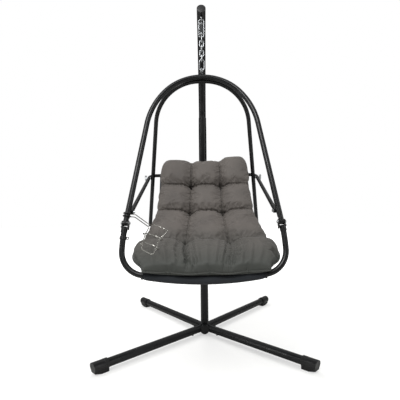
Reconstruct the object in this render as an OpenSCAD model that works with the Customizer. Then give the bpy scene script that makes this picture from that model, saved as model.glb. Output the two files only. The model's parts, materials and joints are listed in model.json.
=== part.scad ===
// Hanging egg chair: a folding tube frame with a sling, a tufted cushion and a
// wire bottle holder, hung by a spring and chain from a post with four floor legs.
// Millimetres. The post stands on the origin, +Z is up and the chair looks along -Y.

/* [Floor legs] */
// Diameter of the leg tubes
leg_d = 45; // [42:1:48]
// Wall of the leg tubes
leg_wall = 1.5; // [1.2:0.1:2]
// Height of the leg tubes' axis above the floor
leg_axis_h = 36; // [35:0.5:42]
// Length of a front leg, from the post's axis to the tube's end
front_leg_len = 771; // [700:1:850]
// Length of a rear leg, from the post's axis to the tube's end
rear_leg_len = 783; // [700:1:850]
// Angle of the front legs from straight ahead
front_leg_turn = 45.3; // [43:0.1:48]
// Angle of the rear legs from straight back
rear_leg_turn = 39.5; // [38:0.1:46]
// Diameter of the plastic sleeve on a leg's end
foot_d = 53; // [50:1:60]
// Length of the plastic sleeve
foot_len = 85; // [80:1:110]
// Thickness of the sleeve's closed end at its top
foot_end = 14; // [12:0.5:18]
// Lean of the sleeve's end face, its top ahead of its base
foot_rake = 9; // [0:0.5:10]
// Length of the sleeve's flat base, from its open end
foot_flat = 40; // [30:1:50]
// Height that the base rises to at the sleeve's closed end
foot_toe = 12; // [10.5:0.5:16]
// Width of the sleeve's flat base
foot_base_w = 40; // [36:1:48]

/* [Hub] */
// Diameter of the hub's core, which lies from front to back
core_d = 56; // [54:1:60]
// Length of the core
core_len = 112; // [108:1:130]
// Wall of the core and the spigots
hub_wall = 3; // [2.5:0.5:4]
// How far the spigots reach from the post's axis
spigot_reach = 135; // [125:1:160]
// How far the upright spigot reaches into the post
post_spigot = 85; // [75:1:120]
// Diameter of the pad under the core
pad_d = 44; // [38:1:50]
// Rise of the domed plugs in the core's ends
plug_dome = 6; // [4:0.5:9]
// Distance of the leg bolts from the post's axis
leg_bolt_r = 108; // [100:1:120]

/* [Post and arm] */
// Diameter of the post
post_d = 50; // [49:0.5:54]
// Wall of the post and the arm
post_wall = 1.5; // [1.2:0.1:1.7]
// Height at which the post starts to narrow
neck_z = 1290; // [1200:5:1400]
// Length of the narrowing neck
neck_len = 100; // [60:5:140]
// Diameter of the arm
arm_d = 45; // [43:0.5:46]
// Length of the arm inside the post
arm_insert = 120; // [110:5:200]
// Straight of the arm between the post and the first bend
arm_stub = 5; // [2:1:60]
// Radius of the first bend
arm_bend_r1 = 180; // [150:5:220]
// Turn of the first bend
arm_bend_a1 = 48; // [45:0.5:50]
// Straight between the bends
arm_rise = 291.4; // [270:0.1:310]
// Radius of the second bend
arm_bend_r2 = 260; // [220:5:300]
// Turn of the second bend
arm_bend_a2 = 28; // [26:0.5:30]
// Straight after the second bend
arm_tip = 136.8; // [120:0.1:150]
// Distance from the arm's end back to the staple, along Y
staple_inset = 27.9; // [26:0.1:34]

/* [Spring, chain and hook] */
// Wire of the staple under the arm
staple_wire = 6; // [5:0.5:7]
// Drop from the arm's axis to the wire at the staple's bottom
staple_drop = 39; // [37:0.5:46]
// Wire of the spring's two draw wires
draw_wire = 4; // [3.5:0.1:4.5]
// Half the width between a draw wire's legs
draw_half = 12.5; // [12.5:0.1:15]
// Half the distance between the two draw wires' planes
draw_off = 4; // [3.8:0.1:5]
// Distance from the swing axis to the lower draw wire's bottom
draw_len = 92.6; // [88:0.1:110]
// Thickness of the spring's end plates
plate_t = 2.5; // [2:0.5:3]
// Distance from the swing axis to the upper end plate
plate_drop = 23; // [20:0.5:26]
// Outer diameter of the coil spring
coil_d = 19; // [16:0.5:19]
// Wire of the coil spring
coil_wire = 2.4; // [2:0.1:2.6]
// Number of curls of the coil spring
coil_curls = 8; // [6:1:9]
// Wire of the chain links
chain_wire = 6; // [5:0.5:6.5]
// Distance from one chain link to the next
chain_pitch = 24.15; // [22:0.05:30]
// Outer width of a chain link
link_w = 25; // [24:0.5:30]
// Number of chain links
chain_links_n = 5; // [3:2:9]
// Height of the snap hook, between wire centres
snap_len = 51; // [48:1:70]
// Width of the snap hook, between wire centres
snap_w = 24; // [24:1:34]
// Wire of the snap hook
snap_wire = 6; // [5.5:0.5:6]
// Wire of the ring and of the staple on the front arch
ring_wire = 5; // [4.5:0.5:5.5]
// Diameter of the ring, between wire centres
ring_d = 22; // [21:0.5:28]
// Turn of the ring about the upright
ring_turn = 25; // [0:1:30]
// Height of the arch's staple above the arch's axis
arch_staple_h = 24.7; // [23.5:0.1:30]

/* [Front arch] */
// Diameter of the front arch and of the seat rail
arch_d = 25; // [24:0.5:26]
// Wall of the chair's tubes
chair_wall = 1.5; // [1.2:0.1:1.7]
// Lean of the front arch from upright
arch_tilt = 18.26; // [17:0.1:20]
// Radius of the arch's crown
crown_r = 245; // [235:1:255]
// Half the turn of the crown
crown_half = 50; // [48:0.5:52]
// Radius of the arch's shoulders
shoulder_r = 360; // [350:1:370]
// Splay of the arch's sides
arch_splay = 8.5; // [8:0.1:9]
// Length of the arch's straight sides, down to the hinge bolts
arch_side = 499.5; // [485:0.5:515]
// Length of the flat tip between the hinge bolt and the tube
tip_len = 24; // [23:0.5:28]
// Width of the flat tip
tip_w = 22; // [18:0.5:22]

/* [Seat rail] */
// Radius of the seat rail's sides
rail_side_r = 820; // [800:5:840]
// Radius of the seat rail's corners
rail_corner_r = 105; // [100:1:110]
// Turn of each corner
rail_corner_a = 79.85; // [79:0.05:81]
// Distance from the hinge bolt to the clevis socket
clevis_drop = 17; // [16.5:0.5:20]
// Length of the clevis socket
clevis_len = 24; // [20:1:30]
// Wall of the clevis socket
clevis_wall = 1.7; // [1.5:0.1:1.8]
// Thickness of a clevis ear
clevis_ear = 4; // [3:0.5:5]
// Reach of a clevis ear past the hinge bolt
clevis_top = 14; // [12:0.5:15]
// Half the turn of the hem round the bow
hem_half = 10; // [9.8:0.1:10]
// Outer diameter of the hem
hem_d = 31; // [29:0.5:34]

/* [Rear arch and back rail] */
// Diameter of the rear arch
rear_d = 22; // [21:0.5:23]
// Distance of the rear arch's hinge behind the front arch's crown
hinge_back = 20; // [19.5:0.5:24]
// Drop of the rear arch's hinge below the front arch's crown
hinge_drop = 14.7; // [13:0.1:16]
// Length of the hinge sleeve
sleeve_len = 26; // [22:1:30]
// Wall of the hinge sleeve
sleeve_wall = 3; // [2.5:0.5:4]
// Lean of the rear arch from upright
rear_tilt = 24.7; // [24:0.1:26]
// Radius of the rear arch's crown
rear_r = 237; // [230:1:245]
// Splay of the rear arch's sides
rear_splay = 7; // [6.8:0.1:7.5]
// Length of the rear arch's straight sides
rear_side = 632; // [600:1:660]
// Diameter of the back rail
back_d = 19; // [18:0.5:20]
// Distance down the front arch to the back rail's pivots
ear_down = 702; // [690:1:712]
// Distance of those pivots behind the arch's axis
ear_off = 24; // [24:0.5:27]
// Distance of the back rail's end inside the arch's axis
ear_inset = 8.2; // [7.5:0.1:9]
// Thickness of the ears
ear_t = 4; // [3:0.5:5]
// Width of the ears
ear_w = 20; // [18:0.5:20]
// Rise of the back rail's arms
back_rise = 22.1; // [21.5:0.1:23]
// Length of the back rail's straight arms
back_arm = 485.7; // [480:0.1:500]
// How far the arms close in, in degrees
back_toe = 1.6; // [1.4:0.1:1.7]
// Radius of the back rail's corners
back_corner_r = 40; // [35:1:50]

/* [Bolts and clearances] */
// Diameter of the frame bolts
bolt_d = 8; // [7:0.5:8]
// Head diameter of the frame bolts
head_d = 15; // [13:0.5:16]
// Head height of the frame bolts
head_h = 4; // [3:0.5:5]
// Gap between fixed pieces that meet
seat_gap = 0.2; // [0.15:0.05:0.3]
// How much wider a bolt's clearance hole is than the bolt
hole_room = 0.4; // [0.3:0.1:0.6]
// Gap between linked wires and between pieces that move past each other
link_gap = 0.4; // [0.3:0.05:0.5]
// Radial clearance of a turning fit
run_fit = 0.06; // [0.03:0.01:0.09]
// Lap of one stretch of tube into the next
lap = 0.2; // [0.1:0.05:0.3]
// How much fatter every other stretch of tube is
lap_step = 0.15; // [0.12:0.01:0.18]

/* [Sling and cushion] */
// Half the width of the sling
sling_half = 251; // [240:1:251]
// Thickness of the sling cloth
sling_t = 2.4; // [1.6:0.2:3]
// Gap between cushion and sling
cushion_gap = 0.6; // [0.4:0.1:1.5]
// Full thickness of a puff
puff_t = 112; // [90:1:120]
// Thickness of the cushion's edge
edge_t = 14; // [10:1:20]
// Share of the puff that a seam draws in
seam_draw = 0.16; // [0.05:0.01:0.25]
// Share of the puff that a tuft draws in
tuft_draw = 0.24; // [0.1:0.01:0.3]
// Rise of the cushion's side edges
side_curl = 26; // [0:1:40]

/* [Bottle holder] */
// Wire of the holder
holder_wire = 4; // [3.5:0.1:4.5]
// Height of the lower grip above the hinge bolt, along the tube
grip_low = 32; // [31:0.5:36]
// Distance between the two grips
grip_step = 12; // [10:0.5:14]
// Diameter of the dipped grips
grip_d = 6.5; // [6:0.1:7]
// Lean of the basket to the viewer's right
basket_lean = 20; // [15:0.5:22]
// Radius of the basket's hoops
hoop_r = 42; // [38:0.5:44]
// Half the width of the basket's front loop at the hoops
loop_half = 30; // [27:0.5:32]

/* [Hidden] */
$fn = 48;

frame_black = [0.15, 0.15, 0.16];
plastic_black = [0.08, 0.08, 0.08];
bright_steel = [0.78, 0.78, 0.77];
dull_steel = [0.5, 0.5, 0.5];
cloth_black = [0.12, 0.12, 0.12];
cushion_grey = [0.39, 0.37, 0.35];

// Arm: its end, and the staple's place on it
arm_end_a = arm_bend_a1 + arm_bend_a2;
arm_start_z = neck_z + neck_len - arm_insert;
arm_end_y = -(arm_bend_r1 * (1 - cos(arm_bend_a1)) + arm_rise * sin(arm_bend_a1)
    + arm_bend_r2 * (cos(arm_bend_a1) - cos(arm_end_a)) + arm_tip * sin(arm_end_a));
arm_end_z = neck_z + neck_len + arm_stub + arm_bend_r1 * sin(arm_bend_a1)
    + arm_rise * cos(arm_bend_a1) + arm_bend_r2 * (sin(arm_end_a) - sin(arm_bend_a1))
    + arm_tip * cos(arm_end_a);
staple_y = arm_end_y + staple_inset;
staple_axis_z = arm_end_z - staple_inset / tan(arm_end_a);
staple_bottom_z = staple_axis_z - staple_drop;
staple_r = 10;

// Suspension, from the top down; every z is a wire's centre
swing_z = staple_bottom_z + (staple_wire + draw_wire) / 2 + link_gap;
hang_y = staple_y - 2 * draw_off;
draw_bottom_z = swing_z - draw_len;
upper_plate_z = swing_z - plate_drop;
lower_plate_z = draw_bottom_z + draw_half + plate_t + 4.5;
coil_h = upper_plate_z - plate_t - lower_plate_z;
chain_top_z = draw_bottom_z + (draw_wire + chain_wire) / 2 + link_gap;
link_len = chain_pitch + link_gap + chain_wire;
chain_bottom_z = chain_top_z - link_len - (chain_links_n - 1) * chain_pitch;
snap_top_z = chain_bottom_z + (chain_wire + snap_wire) / 2 + link_gap;
snap_bottom_z = snap_top_z - snap_len;
ring_top_z = snap_bottom_z + (snap_wire + ring_wire) / 2 + link_gap;
ring_bottom_z = ring_top_z - ring_d;
arch_staple_z = ring_bottom_z + ring_wire + link_gap;
arch_top_z = arch_staple_z - arch_staple_h;

// Front arch: its shoulder and its hinge bolt, across (u) and down (v) its plane
shoulder_end = 90 - arch_splay;
shoulder_u = crown_r * sin(crown_half) + shoulder_r * (sin(shoulder_end) - sin(crown_half));
shoulder_v = crown_r * (1 - cos(crown_half)) + shoulder_r * (cos(crown_half) - cos(shoulder_end));
bolt_u = shoulder_u + arch_side * sin(arch_splay);
bolt_v = shoulder_v + arch_side * cos(arch_splay);
function arch_side_u(v) = shoulder_u + (v - shoulder_v) * tan(arch_splay);
function arch_point(u, v, off = 0) = [
    u,
    hang_y - v * sin(arch_tilt) + off * cos(arch_tilt),
    arch_top_z - v * cos(arch_tilt) - off * sin(arch_tilt)
];
bolt_point = arch_point(bolt_u, bolt_v);

// Seat rail: the bow closes what its sides and corners leave
rail_bow_half = 90 - rail_corner_a;
rail_side_v = bolt_v + rail_side_r * sin(arch_splay);
rail_side_u = bolt_u + rail_side_r * (1 - cos(arch_splay));
rail_bow_u = rail_side_u - rail_corner_r * (1 - cos(rail_corner_a));
rail_bow_r = rail_bow_u / sin(rail_bow_half);
rail_bottom_v = rail_side_v + rail_corner_r * sin(rail_corner_a) + rail_bow_r * (1 - cos(rail_bow_half));
rail_bottom = arch_point(0, rail_bottom_v);
clevis_trim = clevis_drop + clevis_wall;

// Rear arch: its hinge, its width and its ends
hinge_y = hang_y + hinge_back;
hinge_z = arch_top_z - hinge_drop;
rear_top = sleeve_len + 2 * link_gap + 0.2;
rear_bend = 90 - rear_splay;
rear_bend_u = rear_top / 2 + rear_r * sin(rear_bend);
rear_bend_v = rear_r * (1 - cos(rear_bend));
rear_end_u = rear_bend_u + rear_side * sin(rear_splay);
rear_end_v = rear_bend_v + rear_side * cos(rear_splay);

// Back rail: its pivots, its crossbar and where its arms pass the rear arch
pivot = arch_point(arch_side_u(ear_down) - ear_inset, ear_down, ear_off);
eye_w = back_d + 0.4;
back_reach = back_arm * cos(back_toe) + back_corner_r * (1 - sin(back_toe));
crossbar = [
    2 * (pivot.x - back_arm * sin(back_toe) - back_corner_r * cos(back_toe)),
    pivot.y + back_reach * cos(back_rise),
    pivot.z + back_reach * sin(back_rise)
];
lock_dist = ((hinge_y - pivot.y) * cos(rear_tilt) + (hinge_z - pivot.z) * sin(rear_tilt))
    / cos(back_rise - rear_tilt);
lock_y = pivot.y + lock_dist * cos(back_rise);
lock_z = pivot.z + lock_dist * sin(back_rise);
lock_v = (lock_y - hinge_y) * sin(rear_tilt) + (hinge_z - lock_z) * cos(rear_tilt);
lock_rear_x = rear_bend_u + (lock_v - rear_bend_v) * tan(rear_splay) + rear_d / 2 / cos(rear_splay);
lock_arm_x = pivot.x - lock_dist * tan(back_toe);
ear_in_x = pivot.x + eye_w / 2 + link_gap;

// Sling: a Bezier curve from the seat rail's hem to the back rail's hem
back_hem_d = back_d + 5;
sling_clear = sling_t / 2 + 0.6;
sling_front = [rail_bottom.y + 6, rail_bottom.z + hem_d / 2 + sling_clear];
sling_back = [crossbar.y - back_hem_d / 2 - sling_clear, crossbar.z];
sling_mid1 = sling_front + [249, 40];
sling_mid2 = sling_back + [-133, -313];
sling_cuts = 16;
function sling_at(t) = pow(1 - t, 3) * sling_front + 3 * t * pow(1 - t, 2) * sling_mid1
    + 3 * t * t * (1 - t) * sling_mid2 + pow(t, 3) * sling_back;
function sling_run(t) = 3 * pow(1 - t, 2) * (sling_mid1 - sling_front)
    + 6 * t * (1 - t) * (sling_mid2 - sling_mid1) + 3 * t * t * (sling_back - sling_mid2);
function sling_normal(t) = [-sling_run(t).y, sling_run(t).x] / norm(sling_run(t));

// Cushion: rows of puffs along the sling, three columns across
row_cells = 6;
col_cells = 6;
rows = 4;
cols = 3;
along = rows * row_cells;
across = cols * col_cells;
// Place of each row's edge along the sling curve
row_edges = [-0.035, 0.28, 0.66, 0.87, 1.06];
// Half width at every half row, from the front lip to the top edge
half_widths = [256, 312, 297, 274, 257, 250, 246, 243, 232];
function between(list, f) = let (i = min(floor(f), len(list) - 2), r = f - i)
    list[i] * (1 - r) + list[i + 1] * r;
function eased(list, f) = let (
    i = min(floor(f), len(list) - 2), r = f - i,
    a = list[max(i - 1, 0)], b = list[i], c = list[i + 1], d = list[min(i + 2, len(list) - 1)]
) b + 0.5 * r * (c - a + r * (2 * a - 5 * b + 4 * c - d + r * (3 * (b - c) + d - a)));
function seam(cells) = pow((1 + cos(360 * cells)) / 2, 2);
function fade(x, p) = sqrt(max(0, 1 - pow(abs(x), p)));
function puff(s, x) = edge_t + (puff_t - edge_t) * fade(x, 4) * fade(2 * s - 1, 8)
    * (1 - seam_draw * max(seam(s * rows), seam((x + 1) * cols / 2))
        - tuft_draw * seam(s * rows) * seam((x + 1) * cols / 2));
function lift(s, x) = sling_t / 2 + cushion_gap + side_curl * pow(abs(x), 3)
    + (puff_t - edge_t) * 0.3 * (1 - fade(x, 4) * fade(2 * s - 1, 8));
// Share of each end row, and of each side, that a top corner's rounding takes up
corner_s = 0.09;
corner_x = 0.3;
function into(f, start) = max(0, (f - start) / (1 - start));
function cushion_point(i, j, top) = let (
    s = i / along,
    x0 = 2 * j / across - 1,
    cs = into(s, 1 - corner_s),
    cx = into(abs(x0), 1 - corner_x),
    x = x0 - sign(x0) * corner_x * cx * (1 - sqrt(1 - cs * cs / 2)),
    t = between(row_edges, rows * (s - corner_s * cs * (1 - sqrt(1 - cx * cx / 2)))),
    h = lift(s, x) + (top ? puff(s, x) : 0),
    p = sling_at(t) + h * sling_normal(t)
) [x * eased(half_widths, s * (len(half_widths) - 1)), p.x, p.y];

// Coil spring: straight ends, square to the plates, and a helix between them
coil_steps = 8;
coil_sides = 6;
coil_r = (coil_d - coil_wire) / 2;
coil_y = hang_y + draw_off;
coil_low = lower_plate_z + coil_wire;
coil_rise = coil_h - 2 * coil_wire;
coil_route = concat(
    [[coil_r, 0, coil_low - coil_wire]],
    [for (k = [0 : coil_curls * coil_steps])
        [coil_r * cos(360 * k / coil_steps), coil_r * sin(360 * k / coil_steps),
            coil_low + coil_rise * k / (coil_curls * coil_steps)]],
    [[coil_r, 0, coil_low + coil_rise + coil_wire]]
);
coil_gap = min([for (a = [1 : len(coil_route) - 2], b = [a + coil_steps / 2 : 1 : len(coil_route) - 2])
    norm(coil_route[a] - coil_route[b])]) - coil_wire;
echo(least_gap_of_coil_to_itself_mm = coil_gap);

// Bottle holder: the basket's own frame, and its grips on the arch's left side
basket_home = [-229, hang_y - 370, arch_top_z - 829];
high_hoop_z = 62;
low_hoop_z = 22;
basket_rim_z = 106;
rim_meet = [50, 8];
arm_out = 20;
arm_ahead = 6;
function basket_point(x, y, z) = basket_home + [
    x * cos(basket_lean) + z * sin(basket_lean),
    y,
    -x * sin(basket_lean) + z * cos(basket_lean)
];
grip_r = arch_d / 2 + seat_gap + grip_d / 2;
grip_wrap = 220;
function side_point(along_side, inward, ahead) = let (
    u = bolt_u - along_side * sin(arch_splay) - inward * cos(arch_splay),
    v = bolt_v - along_side * cos(arch_splay) + inward * sin(arch_splay)
) let (p = arch_point(u, v, -ahead)) [-p.x, p.y, p.z];

// ---------------------------------------------------------------- helpers

// Round section, hollow when it has a wall
module section(d, wall, fat = 0) {
    difference() {
        circle(d = d + fat, $fn = 48);
        if (wall > 0) circle(d = d - 2 * wall - fat, $fn = 48);
    }
}

// Section turned about Z at radius r, in steps that suit the radius
module sweep(r, a) {
    steps = r > 600 ? 1440 : r > 100 ? 360 : $fn;
    rotate_extrude(angle = a, $fn = steps)
        translate([r, 0])
            children();
}

// Bend that starts along +Z and turns towards +X, with a lap before and after
module bend(r, a, d, wall, fat, before, after) {
    lap_a = lap / r * 180 / PI;
    translate([r, 0, 0])
        rotate([90, 0, 180])
            rotate([0, 0, -before * lap_a])
                sweep(r, a + (before + after) * lap_a)
                    section(d, wall, fat);
}

// Tube or wire along steps: [length] is a straight, [radius, angle] a bend.
// Every other step is a hair fatter, and its neighbours lap into it.
module route(steps, d, wall = 0, closed = false, i = 0) {
    if (i < len(steps)) {
        step = steps[i];
        fat = i % 2 == 1 ? lap_step : 0;
        before = i % 2 == 0 && (i > 0 || closed) ? 1 : 0;
        after = i % 2 == 0 && (i < len(steps) - 1 || closed) ? 1 : 0;
        if (len(step) == 1) {
            translate([0, 0, -before * lap])
                linear_extrude(step[0] + (before + after) * lap)
                    rotate(180) section(d, wall, fat);
            translate([0, 0, step[0]])
                route(steps, d, wall, closed, i + 1);
        } else {
            bend(step[0], step[1], d, wall, fat, before, after);
            translate([step[0] * (1 - cos(step[1])), 0, step[0] * sin(step[1])])
                rotate([0, step[1], 0])
                    route(steps, d, wall, closed, i + 1);
        }
    }
}

// Wire from point to point, with a ball at each corner
module wire(points, d) {
    for (i = [0 : len(points) - 2]) {
        way = points[i + 1] - points[i];
        translate(points[i])
            rotate([0, acos(way.z / norm(way)), atan2(way.y, way.x)])
                cylinder(d = d, h = norm(way), $fn = 24);
        if (i > 0) translate(points[i])
            sphere(d = d * 1.08, $fn = 24);
    }
}

// Round bar along +X, centred
module cross_bar(d, len) {
    rotate([0, 90, 0])
        cylinder(d = d, h = len, center = true);
}

// Low dome on the XY plane
module dome(d, h) {
    ball_r = (d * d / 4 + h * h) / (2 * h);
    intersection() {
        translate([0, 0, h - ball_r])
            sphere(r = ball_r, $fn = 64);
        cylinder(d = d, h = h + 1);
    }
}

// Closed link or ring in the XZ plane, centred, with short straight crowns
module link(wire_d, w, h, crown) {
    turn_r = (w - crown) / 2;
    translate([-w / 2, 0, -(h / 2 - turn_r)])
        route([
            [h - 2 * turn_r], [turn_r, 90], [crown], [turn_r, 90],
            [h - 2 * turn_r], [turn_r, 90], [crown], [turn_r, 90]
        ], wire_d, closed = true);
}

// Arch of wire in the XZ plane: legs up from z = 0, crown centre at z = h
module wire_arch(wire_d, w, h, crown) {
    turn_r = (w - crown) / 2;
    translate([-w / 2, 0, 0])
        route([[h - turn_r], [turn_r, 90], [crown], [turn_r, 90], [h - turn_r]], wire_d);
}

module both_sides() {
    children();
    mirror([1, 0, 0]) children();
}

// Frames of the chair's planes: X across, Y up along the plane
module front_plane() {
    translate([0, hang_y, arch_top_z])
        rotate([90 - arch_tilt, 0, 0])
            children();
}

module rear_plane() {
    translate([0, hinge_y, hinge_z])
        rotate([90 + rear_tilt, 0, 0])
            children();
}

module back_plane() {
    translate([0, pivot.y, pivot.z])
        rotate([back_rise, 0, 0])
            children();
}

// Start of a route in a plane, heading up and turned inwards
module heading_in(a) {
    rotate([0, 0, -a])
        rotate([-90, 0, 0])
            children();
}

// Frame on the right hinge bolt, with Y up along the arch's side
module side_frame() {
    front_plane()
        translate([bolt_u, -bolt_v, 0])
            rotate([0, 0, arch_splay])
                children();
}

// Tube through rings of points, six sides, for the coil
module swept(points, d, sides) {
    last = len(points) - 1;
    spots = [for (i = [0 : last]) let (
        back = points[i] - points[max(i - 1, 0)],
        ahead = points[min(i + 1, last)] - points[i],
        way = (norm(back) > 0 ? back / norm(back) : [0, 0, 0])
            + (norm(ahead) > 0 ? ahead / norm(ahead) : [0, 0, 0]),
        dir = way / norm(way),
        out = [points[i].x, points[i].y, 0] / norm([points[i].x, points[i].y]),
        side_a = out - (out * dir) * dir,
        a = side_a / norm(side_a),
        b = cross(dir, a)
    ) for (k = [0 : sides - 1])
        points[i] + d / 2 * (cos(360 * k / sides) * a + sin(360 * k / sides) * b)];
    faces = concat(
        [for (i = [0 : last - 1], k = [0 : sides - 1])
            [i * sides + k, (i + 1) * sides + k, (i + 1) * sides + (k + 1) % sides]],
        [for (i = [0 : last - 1], k = [0 : sides - 1])
            [i * sides + k, (i + 1) * sides + (k + 1) % sides, i * sides + (k + 1) % sides]],
        [for (k = [1 : sides - 2]) [0, k, k + 1]],
        [for (k = [1 : sides - 2]) [last * sides, last * sides + k + 1, last * sides + k]]
    );
    polyhedron(spots, faces);
}

// ---------------------------------------------------------------- stand

module leg_frame(turn, front) {
    rotate([0, 0, front ? -90 + turn : 90 - turn])
        translate([0, 0, leg_axis_h])
            rotate([0, 90, 0])
                children();
}

module all_legs_frames() {
    both_sides() {
        leg_frame(front_leg_turn, true) children();
        leg_frame(rear_leg_turn, false) children();
    }
}

spigot_d = leg_d - 2 * leg_wall - 2 * seat_gap;
post_spigot_d = post_d - 2 * post_wall - 2 * seat_gap;
post_foot_z = leg_axis_h + core_d / 2 + seat_gap;

module hub_solid(inner) {
    cut = inner ? 2 * hub_wall : 0;
    translate([0, 0, leg_axis_h])
        rotate([90, 0, 0])
            cylinder(d = core_d - cut, h = core_len + (inner ? 2 : 0), center = true);
    all_legs_frames()
        cylinder(d = spigot_d - cut, h = spigot_reach + (inner ? 1 : 0));
    translate([0, 0, leg_axis_h])
        cylinder(d = post_spigot_d - cut, h = post_foot_z - leg_axis_h + post_spigot + (inner ? 1 : 0));
}

module leg_bolt_holes(d) {
    both_sides() {
        rotate([0, 0, -90 + front_leg_turn]) translate([leg_bolt_r, 0, 0])
            cylinder(d = d, h = leg_axis_h);
        rotate([0, 0, 90 - rear_leg_turn]) translate([leg_bolt_r, 0, 0])
            cylinder(d = d, h = leg_axis_h);
    }
}

// Cross bolts above the post's foot and above the arm's lower end
hub_bolt_up = 50;
splice_bolt_up = 45;
hub_bolt_z = post_foot_z + hub_bolt_up;
splice_bolt_z = arm_start_z + splice_bolt_up;

module post_bolt_holes(d) {
    for (z = [hub_bolt_z, splice_bolt_z])
        translate([0, 0, z]) rotate([-90, 0, 0])
            cylinder(d = d, h = post_d);
}

module hub() {
    color(frame_black)
        difference() {
            hub_solid(false);
            hub_solid(true);
            leg_bolt_holes(bolt_d + 2 * run_fit);
            post_bolt_holes(bolt_d + 2 * run_fit);
            for (a = [0, 180])
                rotate([0, 0, a])
                    translate([0, -core_len / 2 - seat_gap / 2, leg_axis_h])
                        rotate([90, 0, 0])
                            cylinder(d = core_d + 2 * seat_gap, h = plug_dome + 2);
        }
}

module hub_plugs() {
    stem = 12;
    rim = 1;
    color(plastic_black)
        for (a = [0, 180])
            rotate([0, 0, a])
                translate([0, -core_len / 2, leg_axis_h])
                    rotate([90, 0, 0]) {
                        translate([0, 0, -stem])
                            cylinder(d = core_d - 2 * hub_wall - 2 * seat_gap, h = stem + rim);
                        translate([0, 0, seat_gap])
                            cylinder(d = core_d, h = rim);
                        translate([0, 0, seat_gap + rim])
                            dome(core_d, plug_dome);
                    }
}

module hub_pad() {
    color(plastic_black)
        difference() {
            cylinder(d = pad_d, h = leg_axis_h - core_d / 4);
            translate([0, 0, leg_axis_h]) rotate([90, 0, 0])
                cylinder(d = core_d + 2 * seat_gap, h = 2 * pad_d, center = true);
            translate([0, 0, leg_axis_h])
                cylinder(d = 2 * pad_d, h = leg_axis_h);
        }
}

// Leg that ends at the core and is mitred against its neighbours, half the angle each
module leg(turn, front, length) {
    side_mitre = (front_leg_turn - rear_leg_turn) / 2;
    hole = leg_d - 2 * leg_wall;
    room = leg_d * 6;
    color(frame_black)
        difference() {
            leg_frame(turn, front)
                difference() {
                    cylinder(d = leg_d, h = length);
                    translate([0, 0, -1]) cylinder(d = hole, h = length + 2);
                }
            translate([0, 0, leg_axis_h]) rotate([90, 0, 0])
                cylinder(d = core_d + 2 * seat_gap, h = 2 * core_len, center = true);
            rotate([0, 0, side_mitre])
                translate([-room / 2, front ? -seat_gap / 2 : seat_gap / 2 - room, -1])
                    cube([room, room, room / 2]);
            translate([-room, -room / 2, -1])
                cube([room, room, room / 2]);
            translate([0, 0, -1])
                cylinder(d = max(pad_d, post_spigot_d) + 2 * seat_gap, h = room / 2);
            leg_bolt_holes(bolt_d + hole_room);
        }
}

module front_leg_right() { leg(front_leg_turn, true, front_leg_len); }
module front_leg_left() { mirror([1, 0, 0]) front_leg_right(); }
module rear_leg_right() { leg(rear_leg_turn, false, rear_leg_len); }
module rear_leg_left() { mirror([1, 0, 0]) rear_leg_right(); }

// Plastic sleeve with a flat base, an upturned toe and a closed, leaning end
module foot(turn, front, length) {
    bore = leg_d + 2 * seat_gap;
    start = length + seat_gap + foot_end - foot_len;
    color(plastic_black)
        rotate([0, 0, front ? -90 + turn : 90 - turn])
            difference() {
                union() {
                    translate([start, 0, leg_axis_h]) rotate([0, 90, 0]) rotate([0, 0, 180])
                        cylinder(d = foot_d, h = foot_len);
                    rotate([90, 0, 0])
                        linear_extrude(height = foot_base_w, center = true)
                            polygon([
                                [start, 0],
                                [start + foot_flat, 0],
                                [start + foot_len, foot_toe],
                                [start + foot_len, leg_axis_h - foot_d / 4],
                                [start, leg_axis_h - foot_d / 4],
                            ]);
                }
                translate([start - 1, 0, leg_axis_h]) rotate([0, 90, 0])
                    cylinder(d = bore, h = foot_len - foot_end + 1);
                translate([start + foot_len, 0, leg_axis_h + foot_d / 2])
                    rotate([0, foot_rake, 0])
                        translate([0, -foot_d, -2 * foot_d])
                            cube([foot_d, 2 * foot_d, 3 * foot_d]);
            }
}

module front_foot_right() { foot(front_leg_turn, true, front_leg_len); }
module front_foot_left() { mirror([1, 0, 0]) front_foot_right(); }
module rear_foot_right() { foot(rear_leg_turn, false, rear_leg_len); }
module rear_foot_left() { mirror([1, 0, 0]) rear_foot_right(); }

leg_under_z = leg_axis_h - leg_d / 2;

module leg_bolts() {
    color(dull_steel)
        both_sides()
            for (a = [-90 + front_leg_turn, 90 - rear_leg_turn])
                rotate([0, 0, a])
                    translate([leg_bolt_r, 0, leg_under_z - head_h - 1]) {
                        cylinder(d = head_d - 2, h = head_h);
                        cylinder(d = bolt_d, h = head_h + 1 + leg_d / 4);
                    }
}

module post() {
    neck_out = arm_d / 2 + seat_gap + post_wall;
    neck_in = arm_d / 2 + seat_gap;
    color(frame_black)
        difference() {
            rotate_extrude()
                polygon([
                    [post_d / 2 - post_wall, post_foot_z],
                    [post_d / 2, post_foot_z],
                    [post_d / 2, neck_z],
                    [neck_out, neck_z + neck_len],
                    [neck_in, neck_z + neck_len],
                    [post_d / 2 - post_wall, neck_z]
                ]);
            post_bolt_holes(bolt_d + hole_room);
        }
}

module post_bolts() {
    shank_in = 10;
    washer_t = 1;
    color(dull_steel)
        for (spot = [[hub_bolt_z, post_spigot_d], [splice_bolt_z, arm_d]])
            translate([0, 0, spot[0]])
                rotate([-90, 0, 0]) {
                    translate([0, 0, spot[1] / 2 - shank_in])
                        cylinder(d = bolt_d, h = post_d / 2 + 1.5 * washer_t - spot[1] / 2 + shank_in);
                    translate([0, 0, post_d / 2 + washer_t])
                        dome(head_d, head_h);
                }
}

module arm_route(d, wall) {
    translate([0, 0, arm_start_z])
        rotate([0, 0, -90])
            route([
                [arm_insert + arm_stub], [arm_bend_r1, arm_bend_a1], [arm_rise],
                [arm_bend_r2, arm_bend_a2], [arm_tip]
            ], d, wall);
}

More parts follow.
